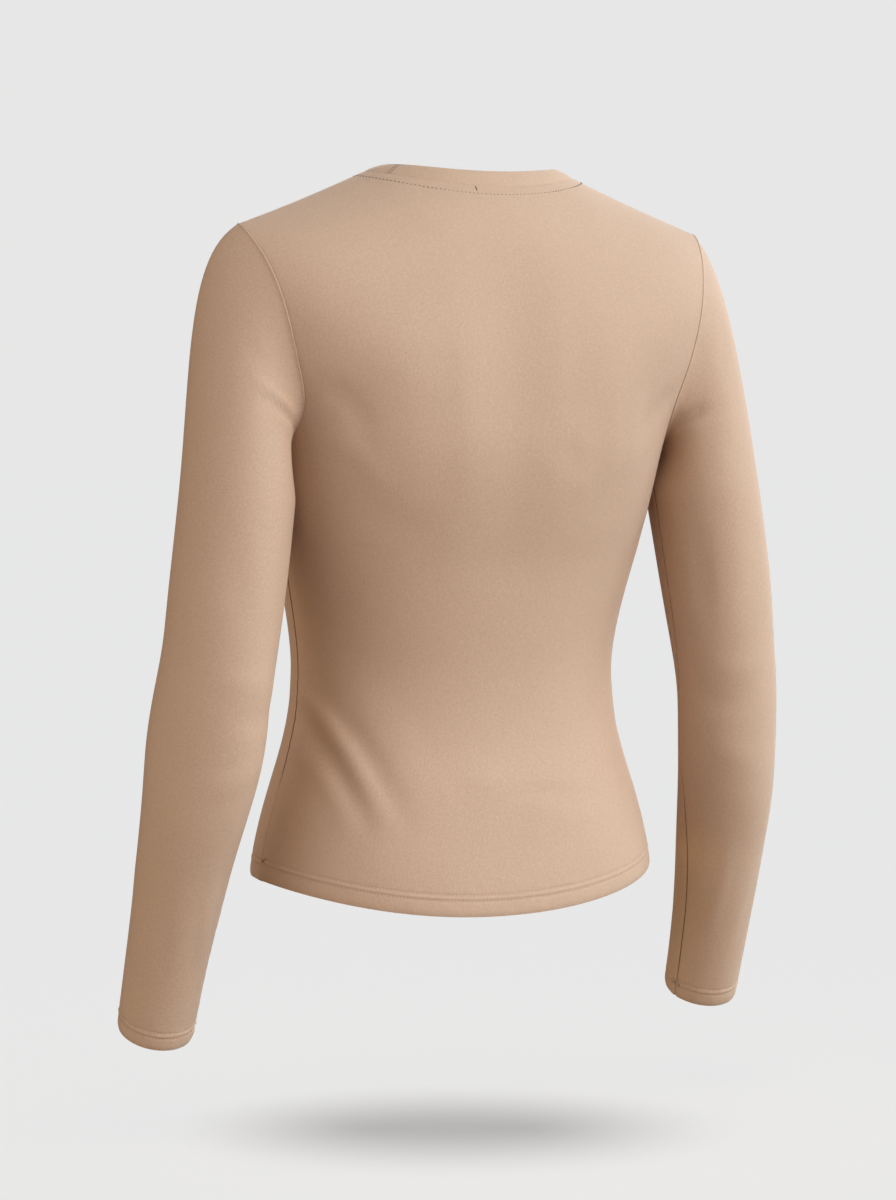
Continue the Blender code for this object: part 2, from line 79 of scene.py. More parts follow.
# ---------------- torso
NECK_HALF = 0.0864  # middle of the neck to the high point of the shoulder
SHOULDER_HALF = 0.190  # middle of the neck to the shoulder point
SHOULDER_DROP = 0.042
SHOULDER_SAG = 0.0010  # how far the middle of the shoulder line dips
UNDERARM_Z = -0.212
NECK_DROP = {"back": 0.012, "front": 0.092}
NECK_CURVE = {"back": 2.0, "front": 1.25}  # power of the cosine of the neck's edge
HEM_SIDE_Z = -0.540
HEM_TILT = 0.020  # fall of the hem towards the wearer's left, for each metre across
HEM_MIDDLE_Z = {"back": -0.563, "front": -0.548}
SECTION_POWER = 2.3  # of the superellipse of a level section
ROUNDING_AT_NECK = {"back": 0.230, "front": 0.290}
ROUNDING_AT_SLEEVE = 0.085
POWER_AT_NECK = 0.52
POWER_AT_SLEEVE = 0.72
TORSO = (
    ("z", "half_width", "side_y", "back_y", "front_y"),
    (-0.59, 0.164, -0.043, 0.078, -0.158),
    (-0.53, 0.159, -0.043, 0.078, -0.157),
    (-0.483, 0.148, -0.042, 0.069, -0.15),
    (-0.43, 0.133, -0.043, 0.057, -0.136),
    (-0.381, 0.1285, -0.042, 0.053, -0.129),
    (-0.33, 0.1355, -0.037, 0.062, -0.13),
    (-0.265, 0.149, -0.025, 0.081, -0.139),
    (-0.212, 0.158, -0.015, 0.092, -0.134),
    (-0.18, 0.168, -0.01, 0.093, -0.122),
    (-0.15, 0.183, -0.005, 0.093, -0.11),
    (-0.1, 0.199, -0.001, 0.092, -0.096),
    (-0.042, 0.208, 0.0, 0.092, -0.09),
    (0.0, 0.21, -0.009, 0.092, -0.094),
    (0.02, 0.21, -0.011, 0.092, -0.094),
)
ARMHOLE = (
    ("rise", "back", "front"),
    (0.0, 1.0, 1.0),
    (0.06, 0.973, 0.966),
    (0.16, 0.925, 0.9),
    (0.36, 0.876, 0.822),
    (0.66, 0.868, 0.8),
    (0.84, 0.884, 0.84),
    (1.0, SHOULDER_HALF / 0.208, SHOULDER_HALF / 0.208),
)
NECK_SHARE = 6 / 14  # share of a panel's columns that ends on the neck seam
NECK_CROWD = 1.3  # how the neck's columns crowd towards the shoulder
NECK_SPREAD = {"back": 0.0, "front": 0.036}

# ---------------- sleeves
SLEEVE = (
    ("drop", "x", "y", "across", "depth", "turn"),
    (0.25, 0.196, 0.0088, 0.0425, 0.053, 0.0),
    (0.29, 0.2015, 0.0115, 0.0425, 0.0515, 2.0),
    (0.33, 0.207, 0.013, 0.042, 0.0495, 6.0),
    (0.36, 0.2111, 0.013, 0.0408, 0.0482, 12.0),
    (0.4, 0.217, 0.0104, 0.0397, 0.048, 24.0),
    (0.44, 0.2211, 0.0038, 0.0392, 0.0475, 28.0),
    (0.48, 0.2252, -0.006, 0.0382, 0.0435, 17.0),
    (0.52, 0.2287, -0.0195, 0.036, 0.039, 5.0),
    (0.56, 0.2316, -0.0333, 0.0332, 0.0362, 0.0),
    (0.6, 0.2342, -0.0481, 0.031, 0.0338, 0.0),
    (0.659, 0.2366, -0.0705, 0.0292, 0.0318, 0.0),
)
CAP_LEAVES = (0.80, -0.42, -0.50)  # direction in which the sleeve leaves the armhole
CAP_START = 0.23  # handles of a cap line, as shares of its length
CAP_END = 0.46
SEAM_SWINGS = 17.0  # degrees by which the underarm seam swings to the back, down the sleeve

# ---------------- neckband
BAND_WIDTH = 0.0145
BAND_LIFT = 0.30  # how far the band leans up at the middle of the back and front
BAND_LIFT_AT_SHOULDERS = -0.16
BAND_PUFF = 0.00025  # how far the doubled band's faces stand out at mid height
BAND_CURL = 0.0003  # how far the band bows outward between its seam and its top
BAND_EASE = 0.009  # length over which the band's lean eases round the shoulders
BAND_WAVE = (0.00012, 0.9)  # height of the uneven wave along the band, and how it is stretched
BAND_JOIN = 0.0243  # from the left high point of the shoulder back to the band's own seam
BAND_JOIN_RADIUS = 0.00020
BAND_JOIN_LEAN = 0.0027  # how much farther back that seam is at the band's foot
BAND_JOIN_LINES = (0.0, -0.0022)  # its seam, and the edge of the turned cloth beside it

# ---------------- folds
# Soft folds: a bowed line on a panel, from one (x, z) to another, raised (height above 0) or sunk
# across its half width.
TORSO_FOLDS = (
    ("side", "x0", "z0", "x1", "z1", "bow", "half_width", "height"),
    # the left waist: a crest lit on its right, with a trough on each side, then a low one
    ("back", 0.14, -0.376, 0.09, -0.502, 0.002, 0.012, 0.0028),
    ("back", 0.123, -0.392, 0.0735, -0.502, 0.002, 0.013, -0.0009),
    ("back", 0.1465, -0.388, 0.104, -0.504, 0.003, 0.011, -0.0015),
    ("back", 0.148, -0.42, 0.116, -0.504, 0.003, 0.012, 0.0009),
    ("back", 0.124, -0.372, 0.062, -0.5, 0.008, 0.03, 0.0012),
    # the right waist and the small of the back
    ("back", -0.124, -0.382, -0.076, -0.474, 0.008, 0.02, 0.0012),
    ("back", -0.118, -0.405, -0.085, -0.47, 0.004, 0.011, -0.0009),
    ("back", 0.012, -0.4735, -0.066, -0.4795, 0.005, 0.009, -0.0009),
    ("back", 0.04, -0.452, -0.02, -0.466, -0.004, 0.014, 0.0006),
    ("back", -0.03, -0.505, -0.11, -0.49, 0.006, 0.016, 0.0006),
    # below the shoulder blades, drawn towards the armholes
    ("back", 0.152, -0.16, 0.112, -0.205, 0.008, 0.014, -0.0016),
    ("back", 0.146, -0.196, 0.096, -0.246, 0.006, 0.014, 0.0007),
    ("back", 0.128, -0.232, 0.05, -0.275, -0.012, 0.024, -0.0007),
    ("back", -0.15, -0.165, -0.11, -0.212, -0.008, 0.014, -0.0014),
    ("back", -0.128, -0.232, -0.05, -0.275, -0.012, 0.024, -0.0007),
    ("back", -0.074, -0.224, -0.02, -0.196, 0.008, 0.018, -0.0008),
    ("back", -0.14, -0.262, -0.098, -0.312, 0.006, 0.016, -0.0008),
    # the hollow of the spine between the shoulder blades, and the small of the back
    ("back", 0.009, -0.03, 0.006, -0.32, 0.002, 0.044, -0.0032),
    ("back", 0.09, -0.1, 0.084, -0.27, -0.003, 0.036, 0.0014),
    ("back", -0.078, -0.08, -0.074, -0.26, 0.003, 0.038, 0.0019),
    ("back", -0.064, -0.168, -0.07, -0.262, 0.002, 0.018, -0.001),
    ("back", -0.102, -0.165, -0.1, -0.262, 0.002, 0.017, 0.001),
    ("back", 0.11, -0.365, -0.11, -0.365, 0.0, 0.08, 0.0055),
    ("back", 0.1, -0.52, -0.1, -0.52, 0.0, 0.06, -0.004),
    # across the front: by the armholes, under the bust and at the waist
    ("front", 0.13, -0.222, 0.07, -0.262, -0.006, 0.018, -0.0018),
    ("front", -0.13, -0.222, -0.07, -0.262, -0.006, 0.018, -0.0018),
    ("front", 0.15, -0.172, 0.104, -0.206, -0.006, 0.012, -0.0015),
    ("front", -0.15, -0.168, -0.108, -0.212, -0.006, 0.012, -0.0017),
    ("front", 0.118, -0.258, 0.064, -0.302, 0.006, 0.015, 0.001),
    ("front", -0.122, -0.268, -0.058, -0.296, 0.008, 0.015, 0.0008),
    ("front", 0.124, -0.378, 0.06, -0.47, 0.01, 0.018, 0.0018),
    ("front", -0.124, -0.385, -0.055, -0.482, 0.01, 0.018, 0.0018),
    ("front", 0.12, -0.398, 0.072, -0.492, 0.004, 0.01, -0.0014),
    ("front", -0.118, -0.392, -0.078, -0.468, 0.005, 0.01, -0.0015),
    ("front", 0.046, -0.404, -0.038, -0.418, 0.006, 0.013, -0.0008),
    ("front", 0.024, -0.452, -0.062, -0.44, -0.005, 0.015, 0.0007),
)
# The same on a sleeve, from one (angle, drop) to another. Angle 0 is outward, 90 is the back.
SLEEVE_FOLDS = (
    ("angle0", "drop0", "angle1", "drop1", "bow", "half_width", "height"),
    (215.0, 0.345, 320.0, 0.362, 0.004, 0.016, -0.0036),
    (200.0, 0.375, 300.0, 0.4, 0.004, 0.016, -0.003),
    (300.0, 0.44, 230.0, 0.47, 0.004, 0.015, -0.0024),
    # the inner elbow, and the sleeve's bend above and below it
    (236.0, 0.358, 292.0, 0.381, 0.003, 0.008, 0.0018),
    (222.0, 0.392, 282.0, 0.416, -0.003, 0.008, -0.0016),
    (150.0, 0.392, 52.0, 0.402, 0.005, 0.015, -0.001),
    (132.0, 0.372, 40.0, 0.378, 0.004, 0.014, 0.0009),
    (118.0, 0.428, 30.0, 0.452, 0.006, 0.016, 0.0008),
    # long shallow folds down the forearm
    (126.0, 0.6, 98.0, 0.5, 0.004, 0.01, 0.001),
    (70.0, 0.61, 44.0, 0.52, 0.004, 0.01, -0.0008),
    (250.0, 0.56, 214.0, 0.6, 0.003, 0.009, -0.0012),
    (330.0, 0.52, 300.0, 0.6, 0.004, 0.012, 0.0008),
    # down the back of the upper arm
    (134.0, 0.262, 128.0, 0.35, 0.003, 0.014, -0.0012),
    (66.0, 0.27, 84.0, 0.35, 0.003, 0.016, -0.0006),
)
# Creases of the cap that gather at the underarm, as lines between points of the left sleeve.
CAP_FOLDS = (
    ("start", "middle", "end", "half_width", "height"),
    ((0.2, 0.0485, -0.157), (0.177, 0.0487, -0.1732), (0.156, 0.037, -0.1895), 0.006, 0.002),
    ((0.196, 0.05, -0.168), (0.1715, 0.0465, -0.184), (0.1545, 0.032, -0.1965), 0.0052, -0.0023),
    ((0.19, 0.0505, -0.182), (0.169, 0.0455, -0.193), (0.1545, 0.03, -0.202), 0.0055, 0.0015),
    ((0.214, 0.048, -0.12), (0.2, 0.051, -0.135), (0.186, 0.052, -0.15), 0.012, -0.0012),
    ((0.196, -0.038, -0.178), (0.181, -0.039, -0.193), (0.166, -0.04, -0.208), 0.007, 0.002),
    ((0.19, -0.046, -0.198), (0.177, -0.04, -0.212), (0.164, -0.034, -0.226), 0.006, -0.002),
    ((0.206, -0.044, -0.15), (0.189, -0.047, -0.164), (0.172, -0.05, -0.178), 0.009, -0.0012),
)
FOLD_CLEARANCE = 0.0045  # folds fade within this of an armhole or the neck seam
SIDE_CLEARANCE = 0.011  # and within this of a side seam
FOLD_FADE = 1.1  # how early a fold fades towards its ends

# ---------------- relief beside the seams
SEAMS = {  # depth and width of a seam's groove, and the welt that its turned edges raise beside it
    "side": (0.00090, 0.00070, 0.00035),
    "shoulder": (0.00040, 0.00060, 0.00022),
    "neck": (0.00012, 0.00050, 0.00015),
    "armhole": (0.00012, 0.00040, 0.00012),
    "underarm": (0.00080, 0.00065, 0.00035),
}
WELT_AT = 0.0034  # distance of the welt's middle from the seam
WELT_WIDTH = 0.0022
WELT_PUCKER = 0.30  # share by which a welt swells and sinks along its seam
PUCKER_WAVES = ((0.0118, 1.0, 0.4), (0.0071, 0.6, 2.1), (0.0262, 0.7, 4.4))  # length, share, phase
ROLL = 0.00070  # how far the sleeve's edge rolls up beside the armhole seam
ROLL_AT = 0.00065  # distance of the roll's crest from the seam
STITCH_SINK = 0.00038  # how far a row of stitches draws the cloth in
STITCH_SINK_WIDTH = 0.0009
NECK_SINK_ENDS = 0.030  # the sink round the neck fades within this of a shoulder
NECK_CLEAR = 0.004  # the shoulder seam's relief fades within this of the neck seam
TUNNEL = (0.00030, 0.0013, 0.5, 1.3)  # swelling between twin rows: height, width, pucker, stretch
HEM_WAVE = (0.00009, 0.8)  # height and stretch of the wave along a turned-up edge
WAVE_BELOW = (0.003, 0.004)  # the wave fades this far from the edge, and from the lower row
WAVE_ABOVE = (0.002, 0.012, 0.009)  # and from the upper row: fades in, ends, and fades out
EDGE_ROLL = 0.0010  # how far a turned-up edge curls in at its foot
EDGE_ROLL_TO = 0.0050  # height at which that curl ends

# ---------------- stitches
STITCH_SIDES = 5
STITCH_AT = np.array((-0.5, -0.42, -0.2, 0.2, 0.42, 0.5))  # a stitch's rings along its length
STITCH_THICK = np.array((0.15, 0.75, 1.0, 1.0, 0.75, 0.15))  # and the shares of its radius there
STITCHES = {  # pitch of a row, share of it that a stitch covers, and radius
    "hem": (0.0028, 0.62, 0.00036),
    "cuff": (0.0026, 0.62, 0.00032),
    "neck": (0.0032, 0.38, 0.00040),
}
STITCH_SKEW = 0.00016  # sideways lean of a stitch, to and fro
STITCH_OUT = 0.4  # share of its radius by which a stitch's middle stands out
ASIDE = np.array((0.3, 0.2, 1.0))  # a way that no thread runs, to turn its sections about it
BLUNT = 0.2  # share of a thread's radius at its ends
SEAM_SHADE_CORD = (0.00028, 0.070, 0.020)  # dark cords of painted shade in the side and underarm seams' grooves: radius, start, taper
SIDE_SHADE_CORD_OUT = 0.0010  # how far the side seams' cords of painted shade lie above their grooves' floor
TICK = (0.0170, 0.0010, 0.0064, 0.00045)  # left of the middle; its start, end and radius
TACK = (0.0120, 0.0042, 0.00045)  # the right cuff's bar tack: width, height, radius
TACK_THREADS = 11
KNOT = (0.0155, 0.0095, 0.00030)  # behind the left side seam: height, spread and radius
KNOT_LEANS = (-0.22, 0.08, 0.34)  # slopes of its crossed thread ends

# ---------------- fineness of the grids
NECK_COLUMNS = 30
SHOULDER_COLUMNS = 34
OUTER_SHARES = (0.9860, 0.9920, 0.9960, 0.9985, 1.0)
HALF_COLUMNS = NECK_COLUMNS + SHOULDER_COLUMNS + len(OUTER_SHARES) - 1
NECK = slice(HALF_COLUMNS - NECK_COLUMNS, HALF_COLUMNS + NECK_COLUMNS + 1)
SHOULDERS = (slice(0, NECK.start + 1), slice(NECK.stop - 1, None))
AROUND_A_ROW = (-0.0022, -0.0013, -0.0006, 0.0, 0.0006, 0.0013, 0.0022)  # rows by a row of stitches
BY_AN_EDGE = (0.0, 0.0003, 0.0009, 0.0018, 0.0032, 0.0052, 0.0076)  # and above a turned-up edge
PAST_THE_TURN = 0.004  # where the close rows end, above the turned-up layer
LEAST_STEP = 0.00025
SIDE_ROWS = 70
ARMHOLE_RISES = (0.005, 0.011, 0.021)
ARMHOLE_ROWS = 46
CAP_SHARES = (0.0, 0.0025, 0.005, 0.008, 0.012, 0.017, 0.024, 0.038, 0.060)
CAP_ROWS = 26
ARM_ROWS = 96
BAND_SIDE_ROWS = 7
BAND_FOOT_ROW = 0.02  # share of the width up to the row that keeps the band's foot crisp
BAND_TOP_ROWS = 9
NECK_ROW_POINTS = 240
FOLD_POINTS = np.linspace(0, 1, 13)

# ---------------- colours, linear
CLOTH = (0.655, 0.463, 0.328)
CLOTH_DARK = (0.580, 0.400, 0.276)
THREAD = (0.740, 0.560, 0.420)
DARK_THREAD = (0.110, 0.062, 0.034)
# brown of the knot's thread, and of the dark cords of painted shade in the seams' grooves
SEAM_SHADE_AND_KNOT_BROWN = (0.190, 0.105, 0.058)
BACKDROP = (0.80, 0.80, 0.798)
PAPER = (0.480, 0.484, 0.486)

# ---------------- camera
LENS = 95.0
SENSOR = 36.0
CAMERA_AT = (0.9755, 2.248, -0.185)
CAMERA_ALONG = (-0.391, -0.9205)  # level direction in which the camera looks
CAMERA_PITCH = np.radians(3.34)
FLOOR_Z = -0.735
BACKDROP_RADIUS = 30.0

SIDES = ("back", "front")
UP = np.array((0.0, 0.0, 1.0))
MIRROR = np.array((-1.0, 1.0, 1.0))
ACROSS = np.array((1.0, 0.0, 1.0))
NORMAL_STEP = 0.0001  # metres either side over which the torso's slopes are taken
SHARP_EDGE = np.radians(60)  # edges that turn more than this are shaded as edges


# ---------------- curves and directions
def spline(stations, values, at):
    """A natural cubic through the values at their stations, which keeps its end values outside."""
    x, y = np.asarray(stations, float), np.asarray(values, float)
    step = np.diff(x)
    matrix, right = np.eye(len(x)), np.zeros(len(x))
    for k in range(1, len(x) - 1):
        matrix[k, k - 1 : k + 2] = step[k - 1], 2 * (step[k - 1] + step[k]), step[k]
        right[k] = 6 * ((y[k + 1] - y[k]) / step[k] - (y[k] - y[k - 1]) / step[k - 1])
    bend = np.linalg.solve(matrix, right)
    at = np.clip(at, x[0], x[-1])
    k = np.clip(np.searchsorted(x, at, side="right") - 1, 0, len(step) - 1)
    after, before, span = at - x[k], x[k + 1] - at, step[k]
    curved = (bend[k] * before**3 + bend[k + 1] * after**3) / (6 * span)
    straight = (y[k] / span - bend[k] * span / 6) * before
    return curved + straight + (y[k + 1] / span - bend[k + 1] * span / 6) * after


def read(table, name, at):
    """A named column of a table, read smoothly at stations in its first column."""
    names, *rows = table
    return spline([row[0] for row in rows], [row[names.index(name)] for row in rows], at)


def between(at, stations, points):
    """A line of points, read at places between its stations."""
    return np.stack([np.interp(at, stations, points[:, k]) for k in range(3)], axis=-1)


def closed(points, axis=0):
    """A ring's points, with the first again at the end."""
    return np.concatenate([points, np.take(points, [0], axis=axis)], axis=axis)


def unit(vectors):
    return vectors / np.linalg.norm(vectors, axis=-1, keepdims=True)


def ease(share):
    """0 to 1 with level ends."""
    share = np.clip(share, 0, 1)
    return share * share * (3 - 2 * share)


def bell(away, width):
    return np.exp(-((away / width) ** 2))


def lengths(points, axis):
    """How far each point lies from the first one, along an axis of a grid."""
    steps = np.linalg.norm(np.diff(points, axis=axis), axis=-1)
    start = np.zeros_like(np.take(steps, [0], axis=axis))
    return np.concatenate([start, np.cumsum(steps, axis=axis)], axis=axis)


# ---------------- the form that the torso takes
def ridge(x):
    """Height of the shoulder line, and of the smooth run of the same form across the neck."""
    length = SHOULDER_HALF - NECK_HALF
    x = np.abs(x)
    out = (x - NECK_HALF) / length
    shoulder = -SHOULDER_DROP * out - SHOULDER_SAG * np.sin(np.pi * np.clip(out, 0, 1))
    slope = (SHOULDER_DROP + SHOULDER_SAG * np.pi) / length
    return np.where(out > 0, shoulder, slope * (NECK_HALF**2 - x**2) / (2 * NECK_HALF))


def torso_y(x, z, side):
    """Depth of the worn panel at a place of its front view."""
    share = np.clip(np.abs(x) / read(TORSO, "half_width", z), 0, 1)
    seam = read(TORSO, "side_y", z)
    depth = (read(TORSO, side + "_y", z) - seam) * (1 - share**SECTION_POWER) ** (1 / SECTION_POWER)
    towards_neck = 0.5 + 0.5 * np.cos(np.pi * np.clip(np.abs(x) / SHOULDER_HALF, 0, 1))
    fall = ROUNDING_AT_SLEEVE + (ROUNDING_AT_NECK[side] - ROUNDING_AT_SLEEVE) * towards_neck
    power = POWER_AT_SLEEVE + (POWER_AT_NECK - POWER_AT_SLEEVE) * towards_neck
    below = np.clip((ridge(x) - z) / fall, 0, 1)
    return seam + depth * np.sin(np.pi / 2 * below**power)


def torso_normals(points, side):
    """Outward normals of the worn form, from how its depth changes across and up."""
    x, z, step = points[..., 0], points[..., 2], NORMAL_STEP
    slopes = [
        (torso_y(x + dx, z + dz, side) - torso_y(x - dx, z - dz, side)) / (2 * step)
        for dx, dz in ((step, 0.0), (0.0, step))
    ]
    outward = 1.0 if side == "back" else -1.0
    return unit(np.stack([-slopes[0], np.ones_like(x), -slopes[1]], axis=-1)) * outward


def on_torso(x, z, side):
    return np.stack([x, torso_y(x, z, side), z], axis=-1)


def top_edge(share, side):
    """x and z of the neck seam and then the shoulder seam, from the middle (0) outward (1)."""
    turn = (1 - (1 - np.clip(share / NECK_SHARE, 0, 1)) ** NECK_CROWD) * np.pi / 2
    out = np.clip((share - NECK_SHARE) / (1 - NECK_SHARE), 0, 1)
    x = NECK_HALF * np.sin(turn) + (SHOULDER_HALF - NECK_HALF) * out
    neck_z = -NECK_DROP[side] * np.cos(turn) ** NECK_CURVE[side]
    return x, np.where(out > 0, ridge(x), neck_z)


def across_shares():
    """The panels' columns, from the wearer's left (1) to the right (-1), crowded at the seams."""
    neck = np.linspace(0, NECK_SHARE, NECK_COLUMNS + 1)
    shoulder = np.linspace(NECK_SHARE, OUTER_SHARES[0], SHOULDER_COLUMNS + 1)
    half = np.concatenate([neck, shoulder[1:], OUTER_SHARES[1:]])
    return np.concatenate([half[::-1], -half[1:]])


def turned_heights(stitches, turn):
    """Heights above a turned-up edge where the grid has rows: close together by the stitches."""
    marks = [row + aside for row in stitches for aside in AROUND_A_ROW]
    marks = np.unique(np.round([*BY_AN_EDGE, *marks, turn + PAST_THE_TURN], 5))
    return marks[np.concatenate([[True], np.diff(marks) > LEAST_STEP])]


def torso_panel(side):
    """The outer points of the front or back: rows go up, column 0 is on the wearer's left."""
    across = across_shares()
    share, sign = np.abs(across), np.sign(across)
    middle = np.sin(share * np.pi / 2)
    hem_z = HEM_SIDE_Z + (HEM_MIDDLE_Z[side] - HEM_SIDE_Z) * (1 - middle**2)
    hem_z = hem_z - HEM_TILT * sign * middle * read(TORSO, "half_width", HEM_SIDE_Z)
    turned = np.array([hem_z + up for up in turned_heights(HEM_STITCHES, HEM_TURN)])
    level = np.linspace(0, 1, SIDE_ROWS + 1)[1:, None]
    z_below = np.vstack([turned, turned[-1] + (UNDERARM_Z - turned[-1]) * level])
    x_below = middle * read(TORSO, "half_width", z_below)

    rise = armhole_rises()[:, None]
    to_shoulder, to_side = ease(share / NECK_SHARE), ease((share - 0.5) / 0.5)
    both_ends = (1 - np.cos(np.pi * rise)) / 2
    one_end = np.sin(rise * np.pi / 2)
    up = rise + (one_end + (both_ends - one_end) * to_side - rise) * to_shoulder
    top_x, top_z = top_edge(share, side)
    x = x_below[-1] + (top_x - x_below[-1]) * up
    z = UNDERARM_Z + (top_z - UNDERARM_Z) * up
    edge_z = UNDERARM_Z + (-SHOULDER_DROP - UNDERARM_Z) * both_ends
    edge_x = read(ARMHOLE, side, both_ends) * read(TORSO, "half_width", edge_z)
    straight_x = x_below[-1, 0] + (SHOULDER_HALF - x_below[-1, 0]) * both_ends
    x = x + (edge_x - straight_x) * middle**2
    spread = NECK_SPREAD[side] * ease(1 - np.abs(share / NECK_SHARE - 1)) * np.sqrt(1 - up) * up**2
    x = x + spread
    z = z - spread * SHOULDER_DROP / (SHOULDER_HALF - NECK_HALF)
    return on_torso(sign * np.vstack([x_below, x]), np.vstack([z_below, z]), side)


def armhole_rises():
    """Rows above the underarm, as shares of the way to the shoulder, close together at its foot."""
    even = np.linspace(0, 1, ARMHOLE_ROWS + 1)
    return np.concatenate([ARMHOLE_RISES, even[even > ARMHOLE_RISES[-1] * 1.5]])


# ---------------- the form that a sleeve takes
def sleeve_frame(drop):
    """Centre, outward and backward directions, and downward direction of the left sleeve."""
    drop = np.atleast_1d(drop)
    nearby = 0.002
    first, last = SLEEVE[1][0], SLEEVE[-1][0]

    def centre(at):
        at = np.clip(at, first, last)
        return np.stack([read(SLEEVE, "x", at), read(SLEEVE, "y", at), -at], axis=-1)

    down = unit(centre(drop + nearby) - centre(drop - nearby))
    back = unit(np.cross(np.array((1.0, 0.0, 0.0)), down))
    return centre(drop), unit(np.cross(down, back)), back, down


def on_sleeve(angle, drop):
    """Points of the left sleeve's plain form: angle 0 is outward, 90 is the back."""
    centre, out, back, _ = sleeve_frame(drop)
    across, depth, turn = (read(SLEEVE, name, drop)[:, None] for name in ("across", "depth", "turn"))
    turn, around = np.radians(turn), np.radians(angle)
    long_way = out * np.cos(turn) + back * np.sin(turn)
    short_way = back * np.cos(turn) - out * np.sin(turn)
    return (
        centre[:, None, :]
        + (across * np.cos(around))[..., None] * long_way[:, None, :]
        + (depth * np.sin(around))[..., None] * short_way[:, None, :]
    )


def sleeve_drops():
    """Stations of the sleeve's rings below its cap, close together at the cuff's stitches."""
    first, last = SLEEVE[1][0], SLEEVE[-1][0]
    lean = -sleeve_frame(last)[3][0, 2]
    turned = last - turned_heights(CUFF_STITCHES, CUFF_TURN)[::-1] * lean
    return np.concatenate([np.linspace(first, turned[0], ARM_ROWS + 1), turned[1:]])


def ring_angles():
    """Angles of the armhole's points round a sleeve: the shoulder, the back, and up the front."""
    down = 180 * (1 - armhole_rises()[::-1])
    return np.concatenate([down, [180.0], 360 - down[::-1]])[:-1]


def sleeve_tube(armhole):
    """The outer points of the left sleeve, row 0 on the armhole and the last row at the cuff."""
    drops = sleeve_drops()
    first, last = drops[0], drops[-1]
    swing = SEAM_SWINGS * ease((drops - first) / (last - first) * 2)[:, None]
    arm = on_sleeve(ring_angles()[None, :] - swing, drops)
    length = np.linalg.norm(arm[0] - armhole, axis=1)[:, None]
    start = armhole + unit(np.array(CAP_LEAVES)) * length * CAP_START
    end = arm[0] - sleeve_frame(first)[3][0] * length * CAP_END
    even = np.linspace(CAP_SHARES[-1], 1, CAP_ROWS + 1)[1:-1]
    t = np.concatenate([CAP_SHARES, even])[:, None, None]
    cap = (1 - t) ** 3 * armhole + 3 * t * (1 - t) ** 2 * start + 3 * t * t * (1 - t) * end + t**3 * arm[0]
    return np.concatenate([cap, arm])


# ---------------- folds
def nearest_on(points, line):
    """How far each point lies from a line of points, and the share of the line up to there."""
    nearest, share = np.full(points.shape[:-1], np.inf), np.zeros(points.shape[:-1])
    steps = np.diff(line, axis=0)
    for k, step in enumerate(steps):
        along = np.clip((points - line[k]) @ step / (step @ step), 0, 1)
        away = np.linalg.norm(points - line[k] - along[..., None] * step, axis=-1)
        share = np.where(away < nearest, (k + along) / len(steps), share)
        nearest = np.minimum(away, nearest)
    return nearest, share


def fold_height(points, line, half_width, height):
    """Height of one soft fold at each point, faded out at its sides and ends."""
    nearest, share = nearest_on(points, line)
    side = np.clip(1 - (nearest / half_width) ** 2, 0, 1) ** 2
    return height * side * np.sin(np.pi * share) ** FOLD_FADE


def torso_folds(points, side):
    total = np.zeros(points.shape[:-1])
    outward = np.array((0.0, 1.0 if side == "back" else -1.0, 0.0))
    along = FOLD_POINTS[:, None]
    for fold_side, x0, z0, x1, z1, bow, half_width, height in TORSO_FOLDS[1:]:
        if fold_side == side:
            start, end = on_torso(np.array((x0, x1)), np.array((z0, z1)), side)
            aside = unit(np.cross(outward, end - start))
            line = start + (end - start) * along + aside * bow * np.sin(np.pi * along)
            line = on_torso(line[:, 0], line[:, 2], side)
            total += fold_height(points, line, half_width, height)
    return total


def sleeve_folds(points):
    total = np.zeros(points.shape[:-1])
    for angle0, drop0, angle1, drop1, bow, half_width, height in SLEEVE_FOLDS[1:]:
        drop = drop0 + (drop1 - drop0) * FOLD_POINTS + bow * np.sin(np.pi * FOLD_POINTS)
        angle = angle0 + (angle1 - angle0) * FOLD_POINTS
        line = on_sleeve(angle[:, None], drop)[:, 0]
        total += fold_height(points, line, half_width, height)
    for start, middle, end, half_width, height in CAP_FOLDS[1:]:
        line = np.concatenate([np.linspace(start, middle, 4), np.linspace(middle, end, 4)[1:]])
        total += fold_height(points, line, half_width, height)
    return total


def clear_of(points, clearance, *seams):
    """1 away from seams on both sides, fading to 0 at them, so that folds leave them in place."""
    share = np.ones(points.shape[:-1])
    for place in np.concatenate([seam[::2] * hand for seam in seams for hand in (1, MIRROR)]):
        share = np.minimum(share, np.linalg.norm(points - place, axis=-1) / clearance)
    return ease(share)


# ---------------- relief
def puckers(along):
    """An uneven wave along a seam, from about -1 to 1."""
    return sum(share * np.sin(2 * np.pi * along / wave + phase) for wave, share, phase in PUCKER_WAVES)


def seam_relief(away, along, seam):
    """Height of the cloth beside a seam: a narrow groove, then the welt of its turned edges."""
    depth, width, welt = SEAMS[seam]
    swell = 1 + WELT_PUCKER * puckers(along)
    return welt * swell * bell(away - WELT_AT, WELT_WIDTH) - depth * bell(away, width)


def roll_relief(away):
    """Height of the sleeve's edge, which rolls up from the armhole seam."""
    share = away / ROLL_AT
    return ROLL * share * np.exp(1 - share)


